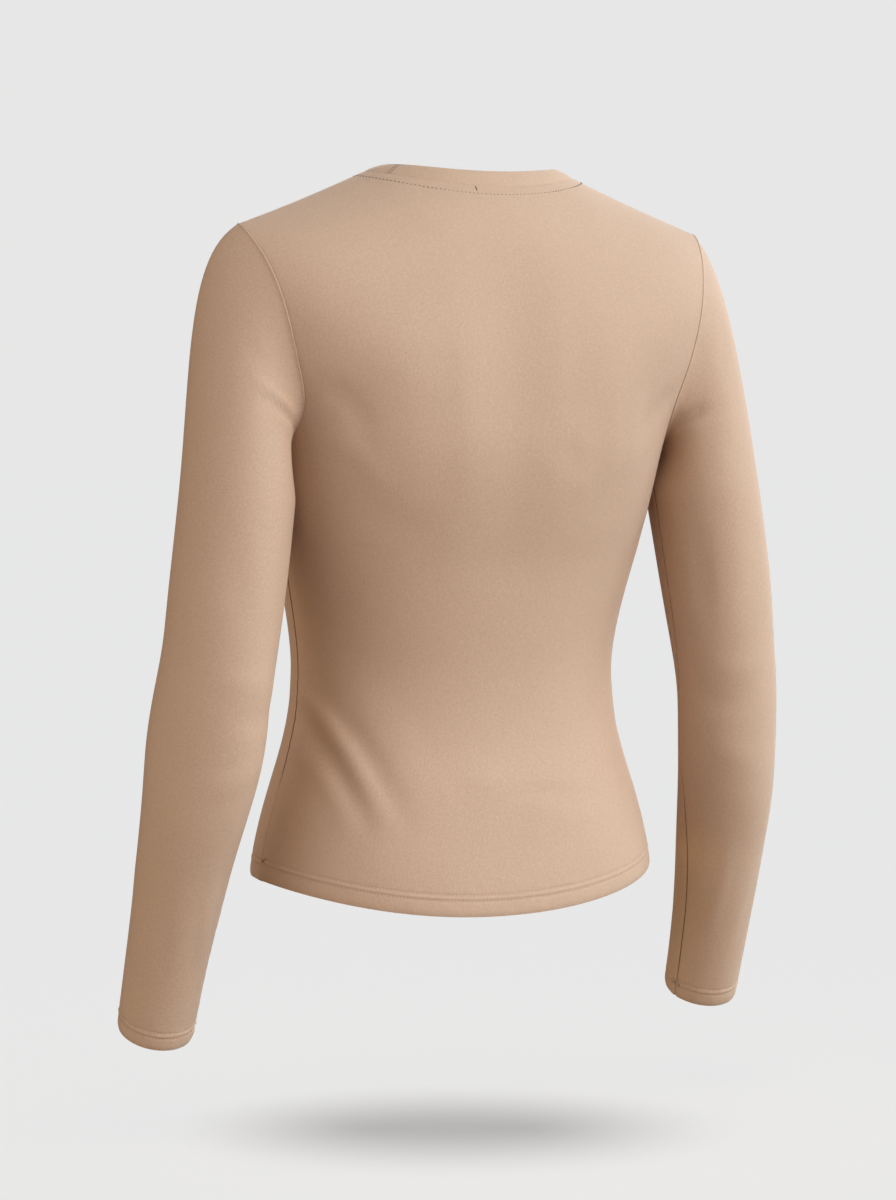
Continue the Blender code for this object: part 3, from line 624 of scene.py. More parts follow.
def turned_relief(height, along, stitches):
    """Height of the cloth over a turned-up edge: sunk at the stitches, swollen between them."""
    lower, upper = stitches
    sunk = bell(height - lower, STITCH_SINK_WIDTH) + bell(height - upper, STITCH_SINK_WIDTH)
    tunnel, width, pucker, stretch = TUNNEL
    swell = 1 + pucker * puckers(along * stretch)
    swollen = tunnel * swell * bell(height - (lower + upper) / 2, width)
    below = ease(height / WAVE_BELOW[0]) * ease((lower - height) / WAVE_BELOW[1])
    fades_in, ends, fades_out = WAVE_ABOVE
    above = ease((height - upper) / fades_in) * ease((upper + ends - height) / fades_out)
    wave = HEM_WAVE[0] * puckers(along * HEM_WAVE[1]) * (below + above)
    foot = EDGE_ROLL * np.clip(1 - height / EDGE_ROLL_TO, 0, 1) ** 2
    return swollen - STITCH_SINK * sunk + wave - foot


# ---------------- seams
def armhole_places(column, underarm, top):
    """Round an armhole: the shoulder point, down the back, the underarm, and up the front."""
    down = [(("back",), row, column) for row in range(top - 1, underarm, -1)]
    up = [(("front",), row, column) for row in range(underarm + 1, top)]
    return [(SIDES, top, column)] + down + [(SIDES, underarm, column)] + up


def neck_places(top):
    """Round the neck: the left shoulder, across the back, the right shoulder, across the front."""
    left, right = NECK.start, NECK.stop - 1
    back = [(("back",), top, column) for column in range(left + 1, right)]
    front = [(("front",), top, column) for column in range(right - 1, left, -1)]
    return [(SIDES, top, left)] + back + [(SIDES, top, right)] + front


def gather(grids, places):
    return np.array([grids[panels[0]][row, column] for panels, row, column in places])


def put(grids, places, values, keep=0):
    """Sets a seam's places in the panels' grids, or with keep at 1 adds to what they hold."""
    for (panels, row, column), value in zip(places, values):
        for panel in panels:
            grids[panel][row, column] = grids[panel][row, column] * keep + value


def square_to_shoulder(facing, *ends):
    """A ring's shared normals, kept in the plane of the shoulder seams where they end on it."""
    facing[list(ends)] = unit(facing[list(ends)] * ACROSS)
    return facing


def tube_normals(tube):
    """Outward unit normals of a tube's rings."""
    around = np.roll(tube, -1, axis=1) - np.roll(tube, 1, axis=1)
    found = unit(np.cross(around, np.gradient(tube, axis=0)))
    return found * np.sign(np.sum(found * (tube - tube.mean(axis=1, keepdims=True))))


def away_from_seam(points, facing, towards, ring=False):
    """Half a seam gap for each point of a seam, square to it and towards one of its pieces."""
    along = np.gradient(points, axis=0)
    if ring:
        along = np.roll(points, -1, axis=0) - np.roll(points, 1, axis=0)
    aside = unit(np.cross(along, facing))
    return aside * np.sign(np.sum(aside * (towards - points), axis=-1, keepdims=True)) * SEAM_GAP / 2


# ---------------- meshes
def mesh_object(name, points, faces, cloth=None):
    """A smooth mesh whose faces look outward.

    cloth is the UV of each face's corners. It is laid on after the faces are turned round, so on
    a turned face the second and the fourth corner change places.
    """
    data = bpy.data.meshes.new(name)
    data.from_pydata(points.tolist(), [], faces.tolist())
    data.update()
    a, b, c, d = (points[faces[:, k]] for k in range(4))
    if np.sum(a * (np.cross(b, c) + np.cross(c, d))) < 0:
        data.flip_normals()
    data.shade_smooth()
    if cloth is not None:
        data.set_sharp_from_angle(angle=SHARP_EDGE)
        data.uv_layers.new(name="cloth").data.foreach_set("uv", cloth.reshape(-1))
    return new_object(name, data)


def new_object(name, data):
    made = bpy.data.objects.new(name, data)
    bpy.context.scene.collection.objects.link(made)
    return made


def grid_corners(rows, columns):
    """Rows and columns of the corners of a grid's quads, four to a quad."""
    i, j = np.meshgrid(np.arange(rows), np.arange(columns), indexing="ij")
    corners = np.stack([i, i, i + 1, i + 1]), np.stack([j, j + 1, j + 1, j])
    return [corner.reshape(4, -1).T for corner in corners]


def shell_object(name, sections, cloth, ring):
    """A closed shell: outer rows of points and then inner ones, the last joined to the first.

    cloth holds the cloth's measures at the points, with one row more, and on a ring one column.
    """
    rows, columns = sections.shape[:2]
    i, j = grid_corners(rows, columns if ring else columns - 1)
    side = np.arange(rows // 2 - 1)
    rim = np.stack([side, side + 1, rows - 2 - side, rows - 1 - side], axis=1)
    if not ring:
        i = np.concatenate([i, rim, rim[:, ::-1]])
        j = np.concatenate([j, rim * 0, rim * 0 + columns - 1])
    return mesh_object(name, sections.reshape(-1, 3), i % rows * columns + j % columns, cloth[i, j])


def wall_object(name, outer, inner, ring):
    """A closed thin shell between two grids of points."""
    lay = closed(outer, axis=1) if ring else outer
    middle = lay.shape[1] // 2
    across = lengths(lay, axis=1)
    along = lengths(lay[:, middle], axis=0)[:, None]
    across = across - across[:, middle : middle + 1]
    cloth = np.stack(np.broadcast_arrays(across, along), axis=-1)
    sections = np.concatenate([outer, inner[::-1]])
    return shell_object(name, sections, np.concatenate([cloth, cloth[::-1], cloth[:1]]), ring)


def hoop_object(name, sections):
    """A closed band whose sections are rings."""
    across = lengths(closed(sections.mean(axis=0)), axis=0)
    along = lengths(closed(sections[:, 0]), axis=0)[:, None]
    return shell_object(name, sections, np.stack(np.broadcast_arrays(across, along), axis=-1), True)


# ---------------- materials
WALE = 0.00105  # width of a column of knit stitches
COURSE = 0.00080  # height of a row of them
STITCH_LEAN = 2.2  # how far a stitch's legs lean, in radians of a row
COURSE_RELIEF = 0.35  # the rows' share in the relief, beside 1 for the columns
KNIT_RELIEF = {"Strength": 0.30, "Distance": 0.00012}
WALE_SHADE = 0.3  # the columns' share in the shade between the cloth's two colours
WANDER = (90.0, 2.0, WALE / 2)  # noises: waves a metre, detail and weight
FUZZ = (1400.0, 3.0, 0.8)
GRAIN = (620.0, 2.0, 2.2)
MOTTLE = (26.0, 4.0, 0.4)
PAPER_GRAIN = (300.0, 2.0, 1.0)
TWIST = {"Scale": 900.0, "Distortion": 1.5}
THREAD_SHADE = 0.82  # how dark a thread is between its twists
PAPER_SHADE = 0.995


class Nodes:
    """A material's nodes, each added and joined in one call."""

    def __init__(self, name):
        self.material = bpy.data.materials.new(name)
        self.material.use_nodes = True
        self.tree = self.material.node_tree

    def fill(self, node, inputs):
        for key, value in inputs.items():
            if isinstance(value, bpy.types.NodeSocket):
                self.tree.links.new(value, node.inputs[key])
            else:
                node.inputs[key].default_value = value
        return node

    def add(self, kind, inputs=None, **settings):
        node = self.tree.nodes.new("ShaderNode" + kind)
        for key, value in settings.items():
            setattr(node, key, value)
        return self.fill(node, inputs or {}).outputs

    def math(self, operation, first, second=0.0, third=0.0):
        return self.add("Math", {0: first, 1: second, 2: third}, operation=operation)[0]

    def total(self, parts, start=0.0):
        """The sum of sockets, each times its weight."""
        for socket, weight in parts:
            start = self.math("MULTIPLY_ADD", socket, weight, start)
        return start

    def place(self):
        return self.add("TexCoord")["Object"]

    def noise(self, waves, detail, weight):
        inputs = {"Vector": self.place(), "Scale": waves, "Detail": detail}
        return self.add("TexNoise", inputs)["Fac"], weight

    def mix(self, share, first, second):
        return self.add("Mix", {0: share, 6: (*first, 1.0), 7: (*second, 1.0)}, data_type="RGBA")[2]

    def finish(self, inputs):
        self.fill(self.tree.nodes["Principled BSDF"], inputs)
        return self.material


def jersey_material():
    """Fine smooth jersey: columns of small V stitches, faint mottling and a soft sheen."""
    nodes = Nodes("jersey")
    flat = nodes.add("SeparateXYZ", {0: nodes.add("UVMap", uv_map="cloth")["UV"]})
    across = nodes.total([nodes.noise(*WANDER)], flat["X"])
    turn = nodes.math("MULTIPLY", across, np.pi / WALE)
    wale = nodes.math("ABSOLUTE", nodes.math("SINE", turn))
    lean = nodes.math("ABSOLUTE", nodes.math("COSINE", turn))
    course = nodes.math("SINE", nodes.total([(flat["Y"], 2 * np.pi / COURSE), (lean, STITCH_LEAN)]))
    height = nodes.total([(course, COURSE_RELIEF), nodes.noise(*FUZZ)], wale)
    shade = nodes.total([nodes.noise(*MOTTLE), nodes.noise(*GRAIN), (wale, WALE_SHADE)], -1.0)
    return nodes.finish({
        "Base Color": nodes.mix(shade, CLOTH_DARK, CLOTH),
        "Normal": nodes.add("Bump", {"Height": height, **KNIT_RELIEF})[0],
        "Roughness": 0.58,
        "Specular IOR Level": 0.28,
        "Sheen Weight": 0.16,
        "Sheen Roughness": 0.45,
        "Sheen Tint": (1.0, 0.93, 0.86, 1.0),
    })


def thread_material(name, colour):
    """Sewing thread with its twist."""
    nodes = Nodes(name)
    twist = nodes.add("TexWave", {"Vector": nodes.place(), **TWIST})["Fac"]
    colour = nodes.mix(twist, [value * THREAD_SHADE for value in colour], colour)
    return nodes.finish({"Base Color": colour, "Roughness": 0.5, "Sheen Weight": 0.1})


def floor_material():
    nodes = Nodes("floor_paper")
    grain, _ = nodes.noise(*PAPER_GRAIN)
    colour = nodes.mix(grain, [value * PAPER_SHADE for value in PAPER], PAPER)
    return nodes.finish({
        "Base Color": colour,
        "Roughness": 0.95,
        "Specular IOR Level": 0.0,
        "Emission Color": (1.0, 1.0, 0.998, 1.0),
        "Emission Strength": FLOOR_GLOW,
    })


def backdrop_material():
    return Nodes("backdrop_paper").finish({
        "Base Color": (0.0, 0.0, 0.0, 1.0),
        "Roughness": 1.0,
        "Specular IOR Level": 0.0,
        "Emission Color": (*BACKDROP, 1.0),
        "Emission Strength": 1.0,
    })


# ---------------- the shells
def torso_facing(plain, underarm):
    """The panels' normals, and those normals as the side and shoulder seams share them."""
    own = {side: torso_normals(plain[side], side) for side in SIDES}
    shared = {side: own[side].copy() for side in SIDES}
    both = unit(own["back"] + own["front"])
    for side in SIDES:
        shared[side][: underarm + 1, [0, -1]] = both[: underarm + 1, [0, -1]]
        for columns in SHOULDERS:
            shared[side][-1, columns] = unit(both[-1, columns] * ACROSS)
    return own, shared


def side_and_shoulder_gaps(plain, facing, underarm):
    """How far each panel draws back from its side and shoulder seams."""
    below = slice(0, underarm + 1)
    seams = [((below, 0), (below, 1)), ((below, -1), (below, -2))]
    seams += [((-1, shoulder), (-2, shoulder)) for shoulder in SHOULDERS]
    gaps = {side: np.zeros_like(plain[side]) for side in SIDES}
    for side, points in plain.items():
        for seam, beside in seams:
            gaps[side][seam] += away_from_seam(points[seam], facing[side][seam], points[beside])
    return gaps


def panel_relief(points, from_neck):
    """The relief of a panel's seams, its stitches and its hem."""
    across, up = lengths(points, axis=1), lengths(points, axis=0)
    past_neck = np.ones(points.shape[1])
    past_neck[NECK] = 0
    total = seam_relief(up[-1:] - up, across[-1], "shoulder") * past_neck * ease(from_neck / NECK_CLEAR)
    total += seam_relief(from_neck, across[-1], "neck")
    by_side = np.arange(len(points))[:, None] < len(points) - len(armhole_rises())
    for away, run in ((across, up[:, :1]), (across[:, -1:] - across, up[:, -1:])):
        total += np.where(by_side, seam_relief(away, run, "side"), seam_relief(away, run, "armhole"))
    total -= neck_sink(points[..., 0]) * bell(from_neck - NECK_STITCHES, STITCH_SINK_WIDTH)
    return total + turned_relief(up, across[0], HEM_STITCHES)


def depths(up, turn, own, facing):
    """Thickness above a turned-up edge, two layers and then one, along the facing directions."""
    wall = HEM_WALL + (WALL - HEM_WALL) * ease((up - turn) / TURN_FADE)
    mitre = np.clip(1 / np.maximum(np.sum(own * facing, axis=-1), 0.1), 1, MOST_MITRE)
    return facing * (wall * mitre)[..., None]


def neckband(points, body_facing):
    """The folded band's sections round the neck seam, and the normals that it shares there."""
    along = unit(np.roll(points, -1, axis=0) - np.roll(points, 1, axis=0))
    above = points.mean(axis=0) + UP * NECK_HALF
    surface = unit(np.cross(along, body_facing))
    surface = surface * np.sign(np.sum(surface * (above - points), axis=1, keepdims=True))
    level = np.linalg.norm(surface[:, :2], axis=1)
    fore_and_aft = (np.abs(surface[:, 1]) / level)[:, None]
    lift = BAND_LIFT_AT_SHOULDERS + (BAND_LIFT - BAND_LIFT_AT_SHOULDERS) * fore_and_aft
    run = lengths(closed(points), axis=0)
    rise = eased(unit(surface + UP * lift), run)
    face = unit(np.cross(rise, eased(along, run)))
    face = face * np.sign(np.sum(face * body_facing, axis=1, keepdims=True))
    seam = square_to_shoulder(unit(face + body_facing), 0, 2 * NECK_COLUMNS)
    gap = away_from_seam(points, seam, points + rise, ring=True)
    bowed = (BAND_CURL + BAND_WAVE[0] * puckers(run[:-1] * BAND_WAVE[1]))[:, None]
    rows = [points + gap]
    for up, out, deep in band_section():
        out = out + bowed * np.sin(np.pi * min(up, 1.0)) - deep * BAND_WALL
        rows.append(points + rise * up * BAND_WIDTH + face * out)
    return np.array(rows + [rows[0] - seam * BAND_WALL]), seam, gap


def eased(directions, run):
    """Directions round a ring, each eased into its neighbours'. run has the ring's length last."""
    gap = np.abs(run[:-1, None] - run[None, :-1])
    gap = np.minimum(gap, run[-1] - gap)
    share = np.exp(-((gap / BAND_EASE) ** 2)) * np.diff(run)[None]
    return unit(share @ directions)


def band_section():
    """The band's section: share of its width up, puff outward in metres, share of its depth in."""
    radius = BAND_WALL / 2 / BAND_WIDTH
    side = np.concatenate([[BAND_FOOT_ROW], np.linspace(0, 1 - radius, BAND_SIDE_ROWS + 1)[1:]])
    puff = BAND_PUFF * np.sin(np.pi * side / side[-1])
    turn = np.linspace(0, np.pi, BAND_TOP_ROWS + 2)[1:-1]
    outer = [(up, out, 0.0) for up, out in zip(side, puff)]
    top = [(1 - radius + radius * np.sin(a), 0.0, (1 - np.cos(a)) / 2) for a in turn]
    inner = [(up, -out, 1.0) for up, out in zip(side[::-1], puff[::-1])]
    return outer + top + inner


def band_join(band, aside):
    """A line of the band's own seam, up its outer face just behind the left shoulder."""
    face = band[: BAND_SIDE_ROWS + 3]
    along = BAND_JOIN + aside + BAND_JOIN_LEAN * np.linspace(1, 0, len(face))
    return np.array([between(*row) for row in zip(along, lengths(face, axis=1), face)])


# ---------------- stitches
def tube(line, radii, first, second):
    """Points and quads of a thin tube along a line, between two directions of its sections."""
    around = 2 * np.pi * np.arange(STITCH_SIDES)[:, None] / STITCH_SIDES
    section = np.cos(around) * first[..., None, :] + np.sin(around) * second[..., None, :]
    points = line[:, None] + radii[:, None, None] * section
    i, j = grid_corners(len(line) - 1, STITCH_SIDES)
    return points.reshape(-1, 3), i * STITCH_SIDES + j % STITCH_SIDES


def stitch_row(line, facing, row, ring):
    """The tubes of a row of stitches along a line of points on the cloth."""
    if ring:
        line, facing = closed(line), closed(facing)
    pitch, cover, radius = STITCHES[row]
    run = lengths(line, axis=0)
    count = int(run[-1] / pitch)
    middles = (np.arange(count) + 0.5) * run[-1] / count
    normal = unit(between(middles, run, facing))
    start = between(middles - pitch * cover / 2, run, line)
    end = between(middles + pitch * cover / 2, run, line)
    aside = unit(np.cross(normal, end - start))
    skew = STITCH_SKEW * np.where(np.arange(count) % 2, 1.0, -1.0)[:, None]
    along = (end - start + aside * skew)[:, None] * STITCH_AT[:, None]
    places = along + ((start + end) / 2 + normal * radius * STITCH_OUT)[:, None]
    return [tube(*stitch) for stitch in zip(places, [STITCH_THICK * radius] * count, aside, normal)]


def cord(line, radius):
    """The tube of one thread along a line of points, with closed blunt ends."""
    along = unit(np.gradient(line, axis=0))
    first = unit(np.cross(along, ASIDE))
    thick = np.full(len(line), radius)
    thick[[0, -1]] *= BLUNT
    return tube(line, thick, first, np.cross(along, first))


def seam_shade_cord(line):
    """A dark cord of painted shade in a seam's groove, which fades out at both ends."""
    radius, _, taper = SEAM_SHADE_CORD
    run = lengths(line, axis=0)
    return cord(line, radius * (BLUNT + (1 - BLUNT) * ease(np.minimum(run, run[-1] - run) / taper)))


def stitches_object(name, tubes, thread):
    starts = np.cumsum([0] + [len(points) for points, _ in tubes])
    quads = np.concatenate([quads + start for (_, quads), start in zip(tubes, starts)])
    made = mesh_object(name, np.concatenate([points for points, _ in tubes]), quads)
    made.data.materials.append(thread)
    return made


def neck_sink(x):
    """How far the row of stitches round the neck sinks: not at all where it crosses a shoulder."""
    return STITCH_SINK * ease((NECK_HALF - np.abs(x)) / NECK_SINK_ENDS)


def round_the_neck(grid, from_neck, side):
    """The line of the panel's stitches below the neck, shoulder to shoulder, and its normals."""
    top, inside = from_neck[-1], np.flatnonzero(from_neck[-1] < NECK_STITCHES)
    first, last = slice(inside[0] - 1, inside[0] + 1), slice(inside[-1], inside[-1] + 2)
    found = [between(NECK_STITCHES, top[first][::-1], grid[-1, first][::-1])]
    for column in inside:
        below = len(grid) - 1 - np.argmax(from_neck[::-1, column] >= NECK_STITCHES)
        ends = slice(below, below + 2)
        found.append(between(NECK_STITCHES, from_neck[ends, column][::-1], grid[ends, column][::-1]))
    found.append(between(NECK_STITCHES, top[last], grid[-1, last]))
    line = np.array(found)
    run = lengths(line, axis=0)
    even = between(np.linspace(0, run[-1], NECK_ROW_POINTS), run, line)
    line = on_torso(even[:, 0], even[:, 2], side)
    normals = torso_normals(line, side)
    return line - normals * neck_sink(line[:, 0])[:, None], normals


def row_at(grid, up, height):
    """The grid's points a given way above its first row, one for each column."""
    return np.array([between(height, up[:, k], grid[:, k]) for k in range(grid.shape[1])])


def twin_rows(grid, facing, up, heights, row, ring):
    """The tubes of twin rows of stitches at their heights above a turned-up edge."""
    tubes = []
    for height in heights:
        tubes += stitch_row(row_at(grid, up, height), row_at(facing, up, height), row, ring)
    return tubes


def tick_line(grid, below):
    """The short dark thread beside the back neck seam, left of the middle."""
    column = np.argmin(np.abs(grid[-1, :, 0] - TICK[0]))
    return between(np.linspace(TICK[1], TICK[2], 6), below[::-1, column], grid[::-1, column])


def knot_lines(grid, up):
    """Crossed thread ends behind the left side seam, where the hem's stitches begin."""
    height, spread, _ = KNOT
    near = slice(0, 12)  # columns enough to reach past the knot
    for lean in KNOT_LEANS:
        points = []
        for share in np.linspace(-1, 1, 6):
            row = row_at(grid[:, near], up[:, near], height + lean * share * spread)
            points.append(between(spread * (share + 1) / 2, lengths(row, axis=0), row))
        yield np.array(points)


def side_seam_shade_cords(grid, facing, up, underarm):
    """Dark cords of painted shade in the grooves of the side seams, from the hip to the underarm."""
    for column in (0, -1):
        rows = slice(np.argmax(up[:, column] > SEAM_SHADE_CORD[1]), underarm + 1)
        yield seam_shade_cord(grid[rows, column] + facing[rows, column] * SIDE_SHADE_CORD_OUT)


def tack_lines(grid, facing, up, seam):
    """The threads of the cuff's bar tack, side by side over the underarm seam."""
    width, height, radius = TACK
    reach = 12
    near = slice(seam - reach, seam + reach + 1)
    for across in width * np.linspace(-0.5, 0.5, TACK_THREADS):
        points = []
        for level in np.linspace(CUFF_STITCHES[0], CUFF_STITCHES[0] + height, 5):
            row = row_at(grid[:, near], up[:, near], level)
            run = lengths(row, axis=0)
            points.append(between(run[reach] + across, run, row) + facing[0, seam] * radius)
        yield np.array(points)


# ---------------- putting it together
def dress():
    """Makes the shells. Returns them by node, and the tubes of the sewing."""
    plain = {side: torso_panel(side) for side in SIDES}
    top, right = (size - 1 for size in plain["back"].shape[:2])
    underarm = top - len(armhole_rises())
    own, facing = torso_facing(plain, underarm)
    gaps = side_and_shoulder_gaps(plain, facing, underarm)

    places = armhole_places(0, underarm, top)
    armhole = gather(plain, places)
    sleeve = sleeve_tube(armhole)
    sleeve_own = tube_normals(sleeve)
    sleeve_facing = sleeve_own.copy()
    sleeve_facing[0] = square_to_shoulder(unit(gather(facing, places) + sleeve_own[0]), 0)
    gap = away_from_seam(armhole, sleeve_facing[0], sleeve[1], ring=True)
    for column, hand in ((0, 1), (right, MIRROR)):
        places = armhole_places(column, underarm, top)
        put(facing, places, sleeve_facing[0] * hand)
        put(gaps, places, -gap * hand, keep=1)

    places = neck_places(top)
    neck = gather(plain, places)
    band, seam, neck_gap = neckband(neck, gather(facing, places))
    put(facing, places, seam)
    put(gaps, places, -neck_gap, keep=1)

    sewing = {name: [] for name in SEWN_TO}
    shells, neck_rows = {}, []
    for side in SIDES:
        form = plain[side]
        folds = torso_folds(form, side) * clear_of(form, FOLD_CLEARANCE, armhole, neck)
        folds = folds * clear_of(form, SIDE_CLEARANCE, form[: underarm + 1, 0])
        from_neck = nearest_on(form, closed(neck))[0]
        raised = folds + panel_relief(form, from_neck)
        outer = form + facing[side] * raised[..., None] + gaps[side]
        up = lengths(form, axis=0)
        inner = outer - depths(up, HEM_TURN, own[side], facing[side])
        shells[side] = wall_object(side + "_shell", outer, inner, False)
        sewing["hem"] += twin_rows(outer, facing[side], up, HEM_STITCHES, "hem", False)
        neck_rows.append(round_the_neck(form, from_neck, side))
        if side == "back":
            sewing["neck"].append(cord(tick_line(outer, up[-1:] - up), TICK[3]))
            sewing["seam"] += [cord(line, KNOT[2]) for line in knot_lines(outer, up)]
            # the side seams' grooves get dark cords of painted shade
            sewing["seam"] += side_seam_shade_cords(outer, facing[side], up, underarm)
    line, normals = (np.concatenate([back, front[::-1]]) for back, front in zip(*neck_rows))
    sewing["neck"] += stitch_row(line, normals, "neck", True)

    shells |= sleeve_shells(sleeve, sleeve_own, sleeve_facing, gap, sewing)
    shells["neckband"] = hoop_object("neckband_shell", band)
    for aside in BAND_JOIN_LINES:
        sewing["neck"].append(cord(band_join(band, aside), BAND_JOIN_RADIUS))
    return shells, sewing


def sleeve_shells(plain, own, facing, gap, sewing):
    """Makes both sleeves from the left one's plain form, its normals and its armhole's gap."""
    down = lengths(plain, axis=0)
    up = down[-1:] - down
    around = lengths(closed(plain, axis=1), axis=1)[:, :-1]
    seam = plain.shape[1] // 2
    raised = sleeve_folds(plain) * clear_of(plain, FOLD_CLEARANCE, plain[0]) + roll_relief(down)
    raised += seam_relief(np.abs(around - around[:, [seam]]), down[:, :1], "underarm")
    raised += turned_relief(up, around, CUFF_STITCHES)
    outer = plain + facing * raised[..., None]
    outer[0] += gap
    inner = outer - depths(up, CUFF_TURN, own, facing)
    stop = np.argmax(up[:, seam] < CUFF_STITCHES[1])
    # a dark cord of painted shade down the underarm seam's groove, on both sleeves
    line = outer[1:stop, seam] + facing[1:stop, seam] * SEAM_SHADE_CORD[0]
    grid, normals, up = outer[::-1], facing[::-1], up[::-1]
    sewing["tack"] += [cord(thread * MIRROR, TACK[2]) for thread in tack_lines(grid, normals, up, seam)]
    shells = {}
    for name, hand in (("sleeve_left", np.ones(3)), ("sleeve_right", MIRROR)):
        shells[name] = wall_object(name + "_shell", outer * hand, inner * hand, True)
        sewing["seam"].append(seam_shade_cord(line * hand))
        sewing["cuff"] += twin_rows(grid * hand, normals * hand, up, CUFF_STITCHES, "cuff", True)
    return shells


# Flat sizes of the cut that shows, in metres: width, length and area of each piece.
FLAT = {
    "back": (0.46, 0.575, 0.222),
    "front": (0.46, 0.550, 0.200),
    "sleeve_left": (0.31, 0.620, 0.149),
    "sleeve_right": (0.31, 0.620, 0.149),
    "neckband": (0.560, 0.0145, 0.0081),
}
# The groups of sewing, each beside a piece's name that nothing reads.
SEWN_TO = dict(hem="back", cuff="sleeve_left", neck="neckband", tack="sleeve_right", seam="front")

# ---------------- light, in Blender's own units
FLOOR_GLOW = 0.430
WORLD_COLOUR = (1.0, 0.99, 0.98)
WORLD_STRENGTH = 0.08
# Soft suns: where each shines from (picture right, up, towards the camera), what it lights, its
# spread in degrees and its red, green and blue strengths.
SUNS = (
    ("name", "right", "up", "near", "lights", "spread", "strengths"),
    ("key", 0.8, 0.62, 0.1, "shirt", 60.0, (0.98, 1.1, 1.3)),
    ("upper", 0.5, 0.6, 0.6, "shirt", 60.0, (1.38, 1.25, 1.14)),
    ("right", 0.9, 0.4, 0.2, "shirt", 60.0, (0.16, 0.4, 0.46)),
    ("low_right", 0.75, 0.0, 0.65, "shirt", 60.0, (1.09, 0.95, 0.94)),
    ("rim", 0.9, 0.1, -0.5, "shirt", 60.0, (0.58, 0.61, 0.61)),
    ("left", -0.8, 0.3, 0.5, "shirt", 60.0, (0.37, 0.43, 0.52)),
    ("side", -1.0, 0.1, 0.0, "shirt", 60.0, (0.62, 0.47, 0.32)),
    ("low_left", -0.7, -0.5, 0.3, "shirt", 60.0, (0.58, 0.36, 0.14)),
    ("front", 0.22, 0.3, -0.93, "shirt", 60.0, (1.45, 1.4, 1.36)),
    ("overhead", 0.0, 1.0, 0.0, "floor", 48.0, (2.16, 2.16, 2.16)),
)

# The screen that gives the floor its soft oval of shade: its middle, half length across the
# picture, half depth and height above the floor.
SCREEN = ((0.030, 0.021), 0.150, 0.085, 0.175)
SCREEN_SIDES = 48
SCREEN_HOLE = 0.01  # its middle is open, as a share of its size
AHEAD = unit(np.array((*CAMERA_ALONG, 0.0)))  # level, the way that the camera looks
RIGHT = np.cross(AHEAD, UP)


def add_suns(lit):
    """The suns, each of which lights only its own collection, as a studio's screened lamps do."""
    for name, to_right, to_up, to_near, lights, spread, strengths in SUNS[1:]:
        light = bpy.data.lights.new(name, "SUN")
        light.energy, light.angle = max(strengths), np.radians(spread)
        light.color = [strength / max(strengths) for strength in strengths]
        lamp = new_object(name, light)
        lamp.light_linking.receiver_collection = lit[lights]
        lamp.light_linking.blocker_collection = lit["screen" if lights == "floor" else lights]
        source = unit(RIGHT * to_right + UP * to_up - AHEAD * to_near)
        across = unit(np.cross(source, AHEAD))
        place(lamp, across, np.cross(source, across), source, source * 3)


def place(thing, x_axis, y_axis, z_axis, at):
    thing.matrix_world = [(*x_axis, 0.0), (*y_axis, 0.0), (*z_axis, 0.0), (*at, 1.0)]


def add_camera():
    """A long lens at the photograph's angle: from behind, and from the wearer's left."""
    data = bpy.data.cameras.new("camera")
    data.lens, data.sensor_width = LENS, SENSOR
    camera = new_object("camera", data)
    along = AHEAD * np.cos(CAMERA_PITCH) - UP * np.sin(CAMERA_PITCH)
    place(camera, RIGHT, np.cross(RIGHT, along), -along, CAMERA_AT)
    bpy.context.scene.camera = camera


def hide(thing, *ways):
    """Hides a piece of the stage from indirect light, and in more ways."""
    for way in ("diffuse", "glossy", "transmission", "volume_scatter", *ways):
        setattr(thing, "visible_" + way, False)


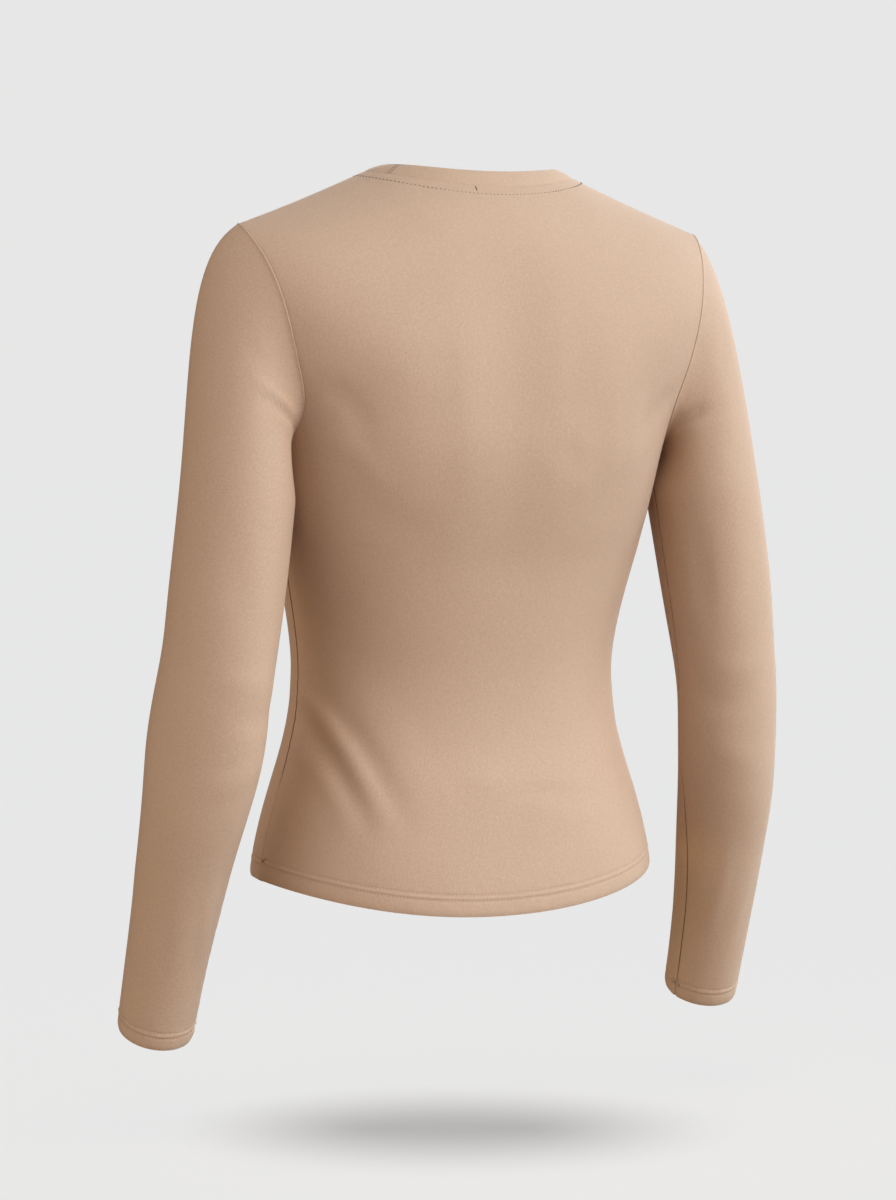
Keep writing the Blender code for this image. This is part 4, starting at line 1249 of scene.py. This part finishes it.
def add_floor():
    """A level floor, and round it a dome of the same pale grey that gives no light of its own."""
    corners = [(x, y, FLOOR_Z) for x, y in ((-1, -1), (1, -1), (1, 1), (-1, 1))]
    corners = np.array(corners) * (BACKDROP_RADIUS, BACKDROP_RADIUS, 1)
    floor = mesh_object("floor", corners, np.array([[0, 1, 2, 3]]))
    floor.data.materials.append(floor_material())
    bpy.ops.mesh.primitive_uv_sphere_add(
        segments=64, ring_count=32, radius=BACKDROP_RADIUS * 0.98, location=(0, 0, FLOOR_Z)
    )
    dome = bpy.context.object
    dome.name = "backdrop"
    dome.data.materials.append(backdrop_material())
    hide(floor, "shadow")
    hide(dome, "shadow")
    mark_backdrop(floor, dome)
    return floor


def add_screen():
    """The level oval that shades the floor and shows in no view."""
    middle, across, deep, height = SCREEN
    turn = 2 * np.pi * np.arange(SCREEN_SIDES)[:, None] / SCREEN_SIDES
    oval = np.cos(turn) * across * RIGHT + np.sin(turn) * deep * AHEAD
    centre = np.array((*middle, FLOOR_Z + height))
    rings = np.concatenate([centre + oval * SCREEN_HOLE, centre + oval])
    i, j = grid_corners(1, SCREEN_SIDES)
    screen = mesh_object("screen", rings, i * SCREEN_SIDES + j % SCREEN_SIDES)
    hide(screen, "camera")
    screen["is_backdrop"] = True
    return screen


def add_world():
    world = bpy.data.worlds.new("studio")
    world.use_nodes = True
    sky = world.node_tree.nodes["Background"]
    sky.inputs["Color"].default_value = (*WORLD_COLOUR, 1.0)
    sky.inputs["Strength"].default_value = WORLD_STRENGTH
    bpy.context.scene.world = world


def main():
    bpy.context.scene.view_settings.view_transform = "Standard"
    add_camera()
    add_world()
    lit = {name: bpy.data.collections.new("lit_" + name) for name in ("shirt", "floor", "screen")}
    lit["floor"].objects.link(add_floor())
    lit["screen"].objects.link(add_screen())
    add_suns(lit)
    jersey = jersey_material()
    thread = thread_material("thread", THREAD)
    threads = {"neck": thread_material("dark_thread", DARK_THREAD)}
    # the seam group: the knot's thread, and the dark cords of painted shade in the seams' grooves
    threads["seam"] = thread_material("knot_thread_and_seam_shade", SEAM_SHADE_AND_KNOT_BROWN)
    shells, sewing = dress()
    for node, shell in shells.items():
        shell.data.materials.append(jersey)
        lit["shirt"].objects.link(shell)
        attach(shell, "root")
        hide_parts(node)
        width, length, area = FLAT[node]
    for name, rows in sewing.items():
        made = stitches_object(name + "_stitches", rows, threads.get(name, thread))
        lit["shirt"].objects.link(made)
        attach(made, "root")
    bpy.context.view_layer.update()
    boxes = {"cad": CAD_BOX, "visual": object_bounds()}
    {name: [list(corner) for corner in box] for name, box in boxes.items()}


main()
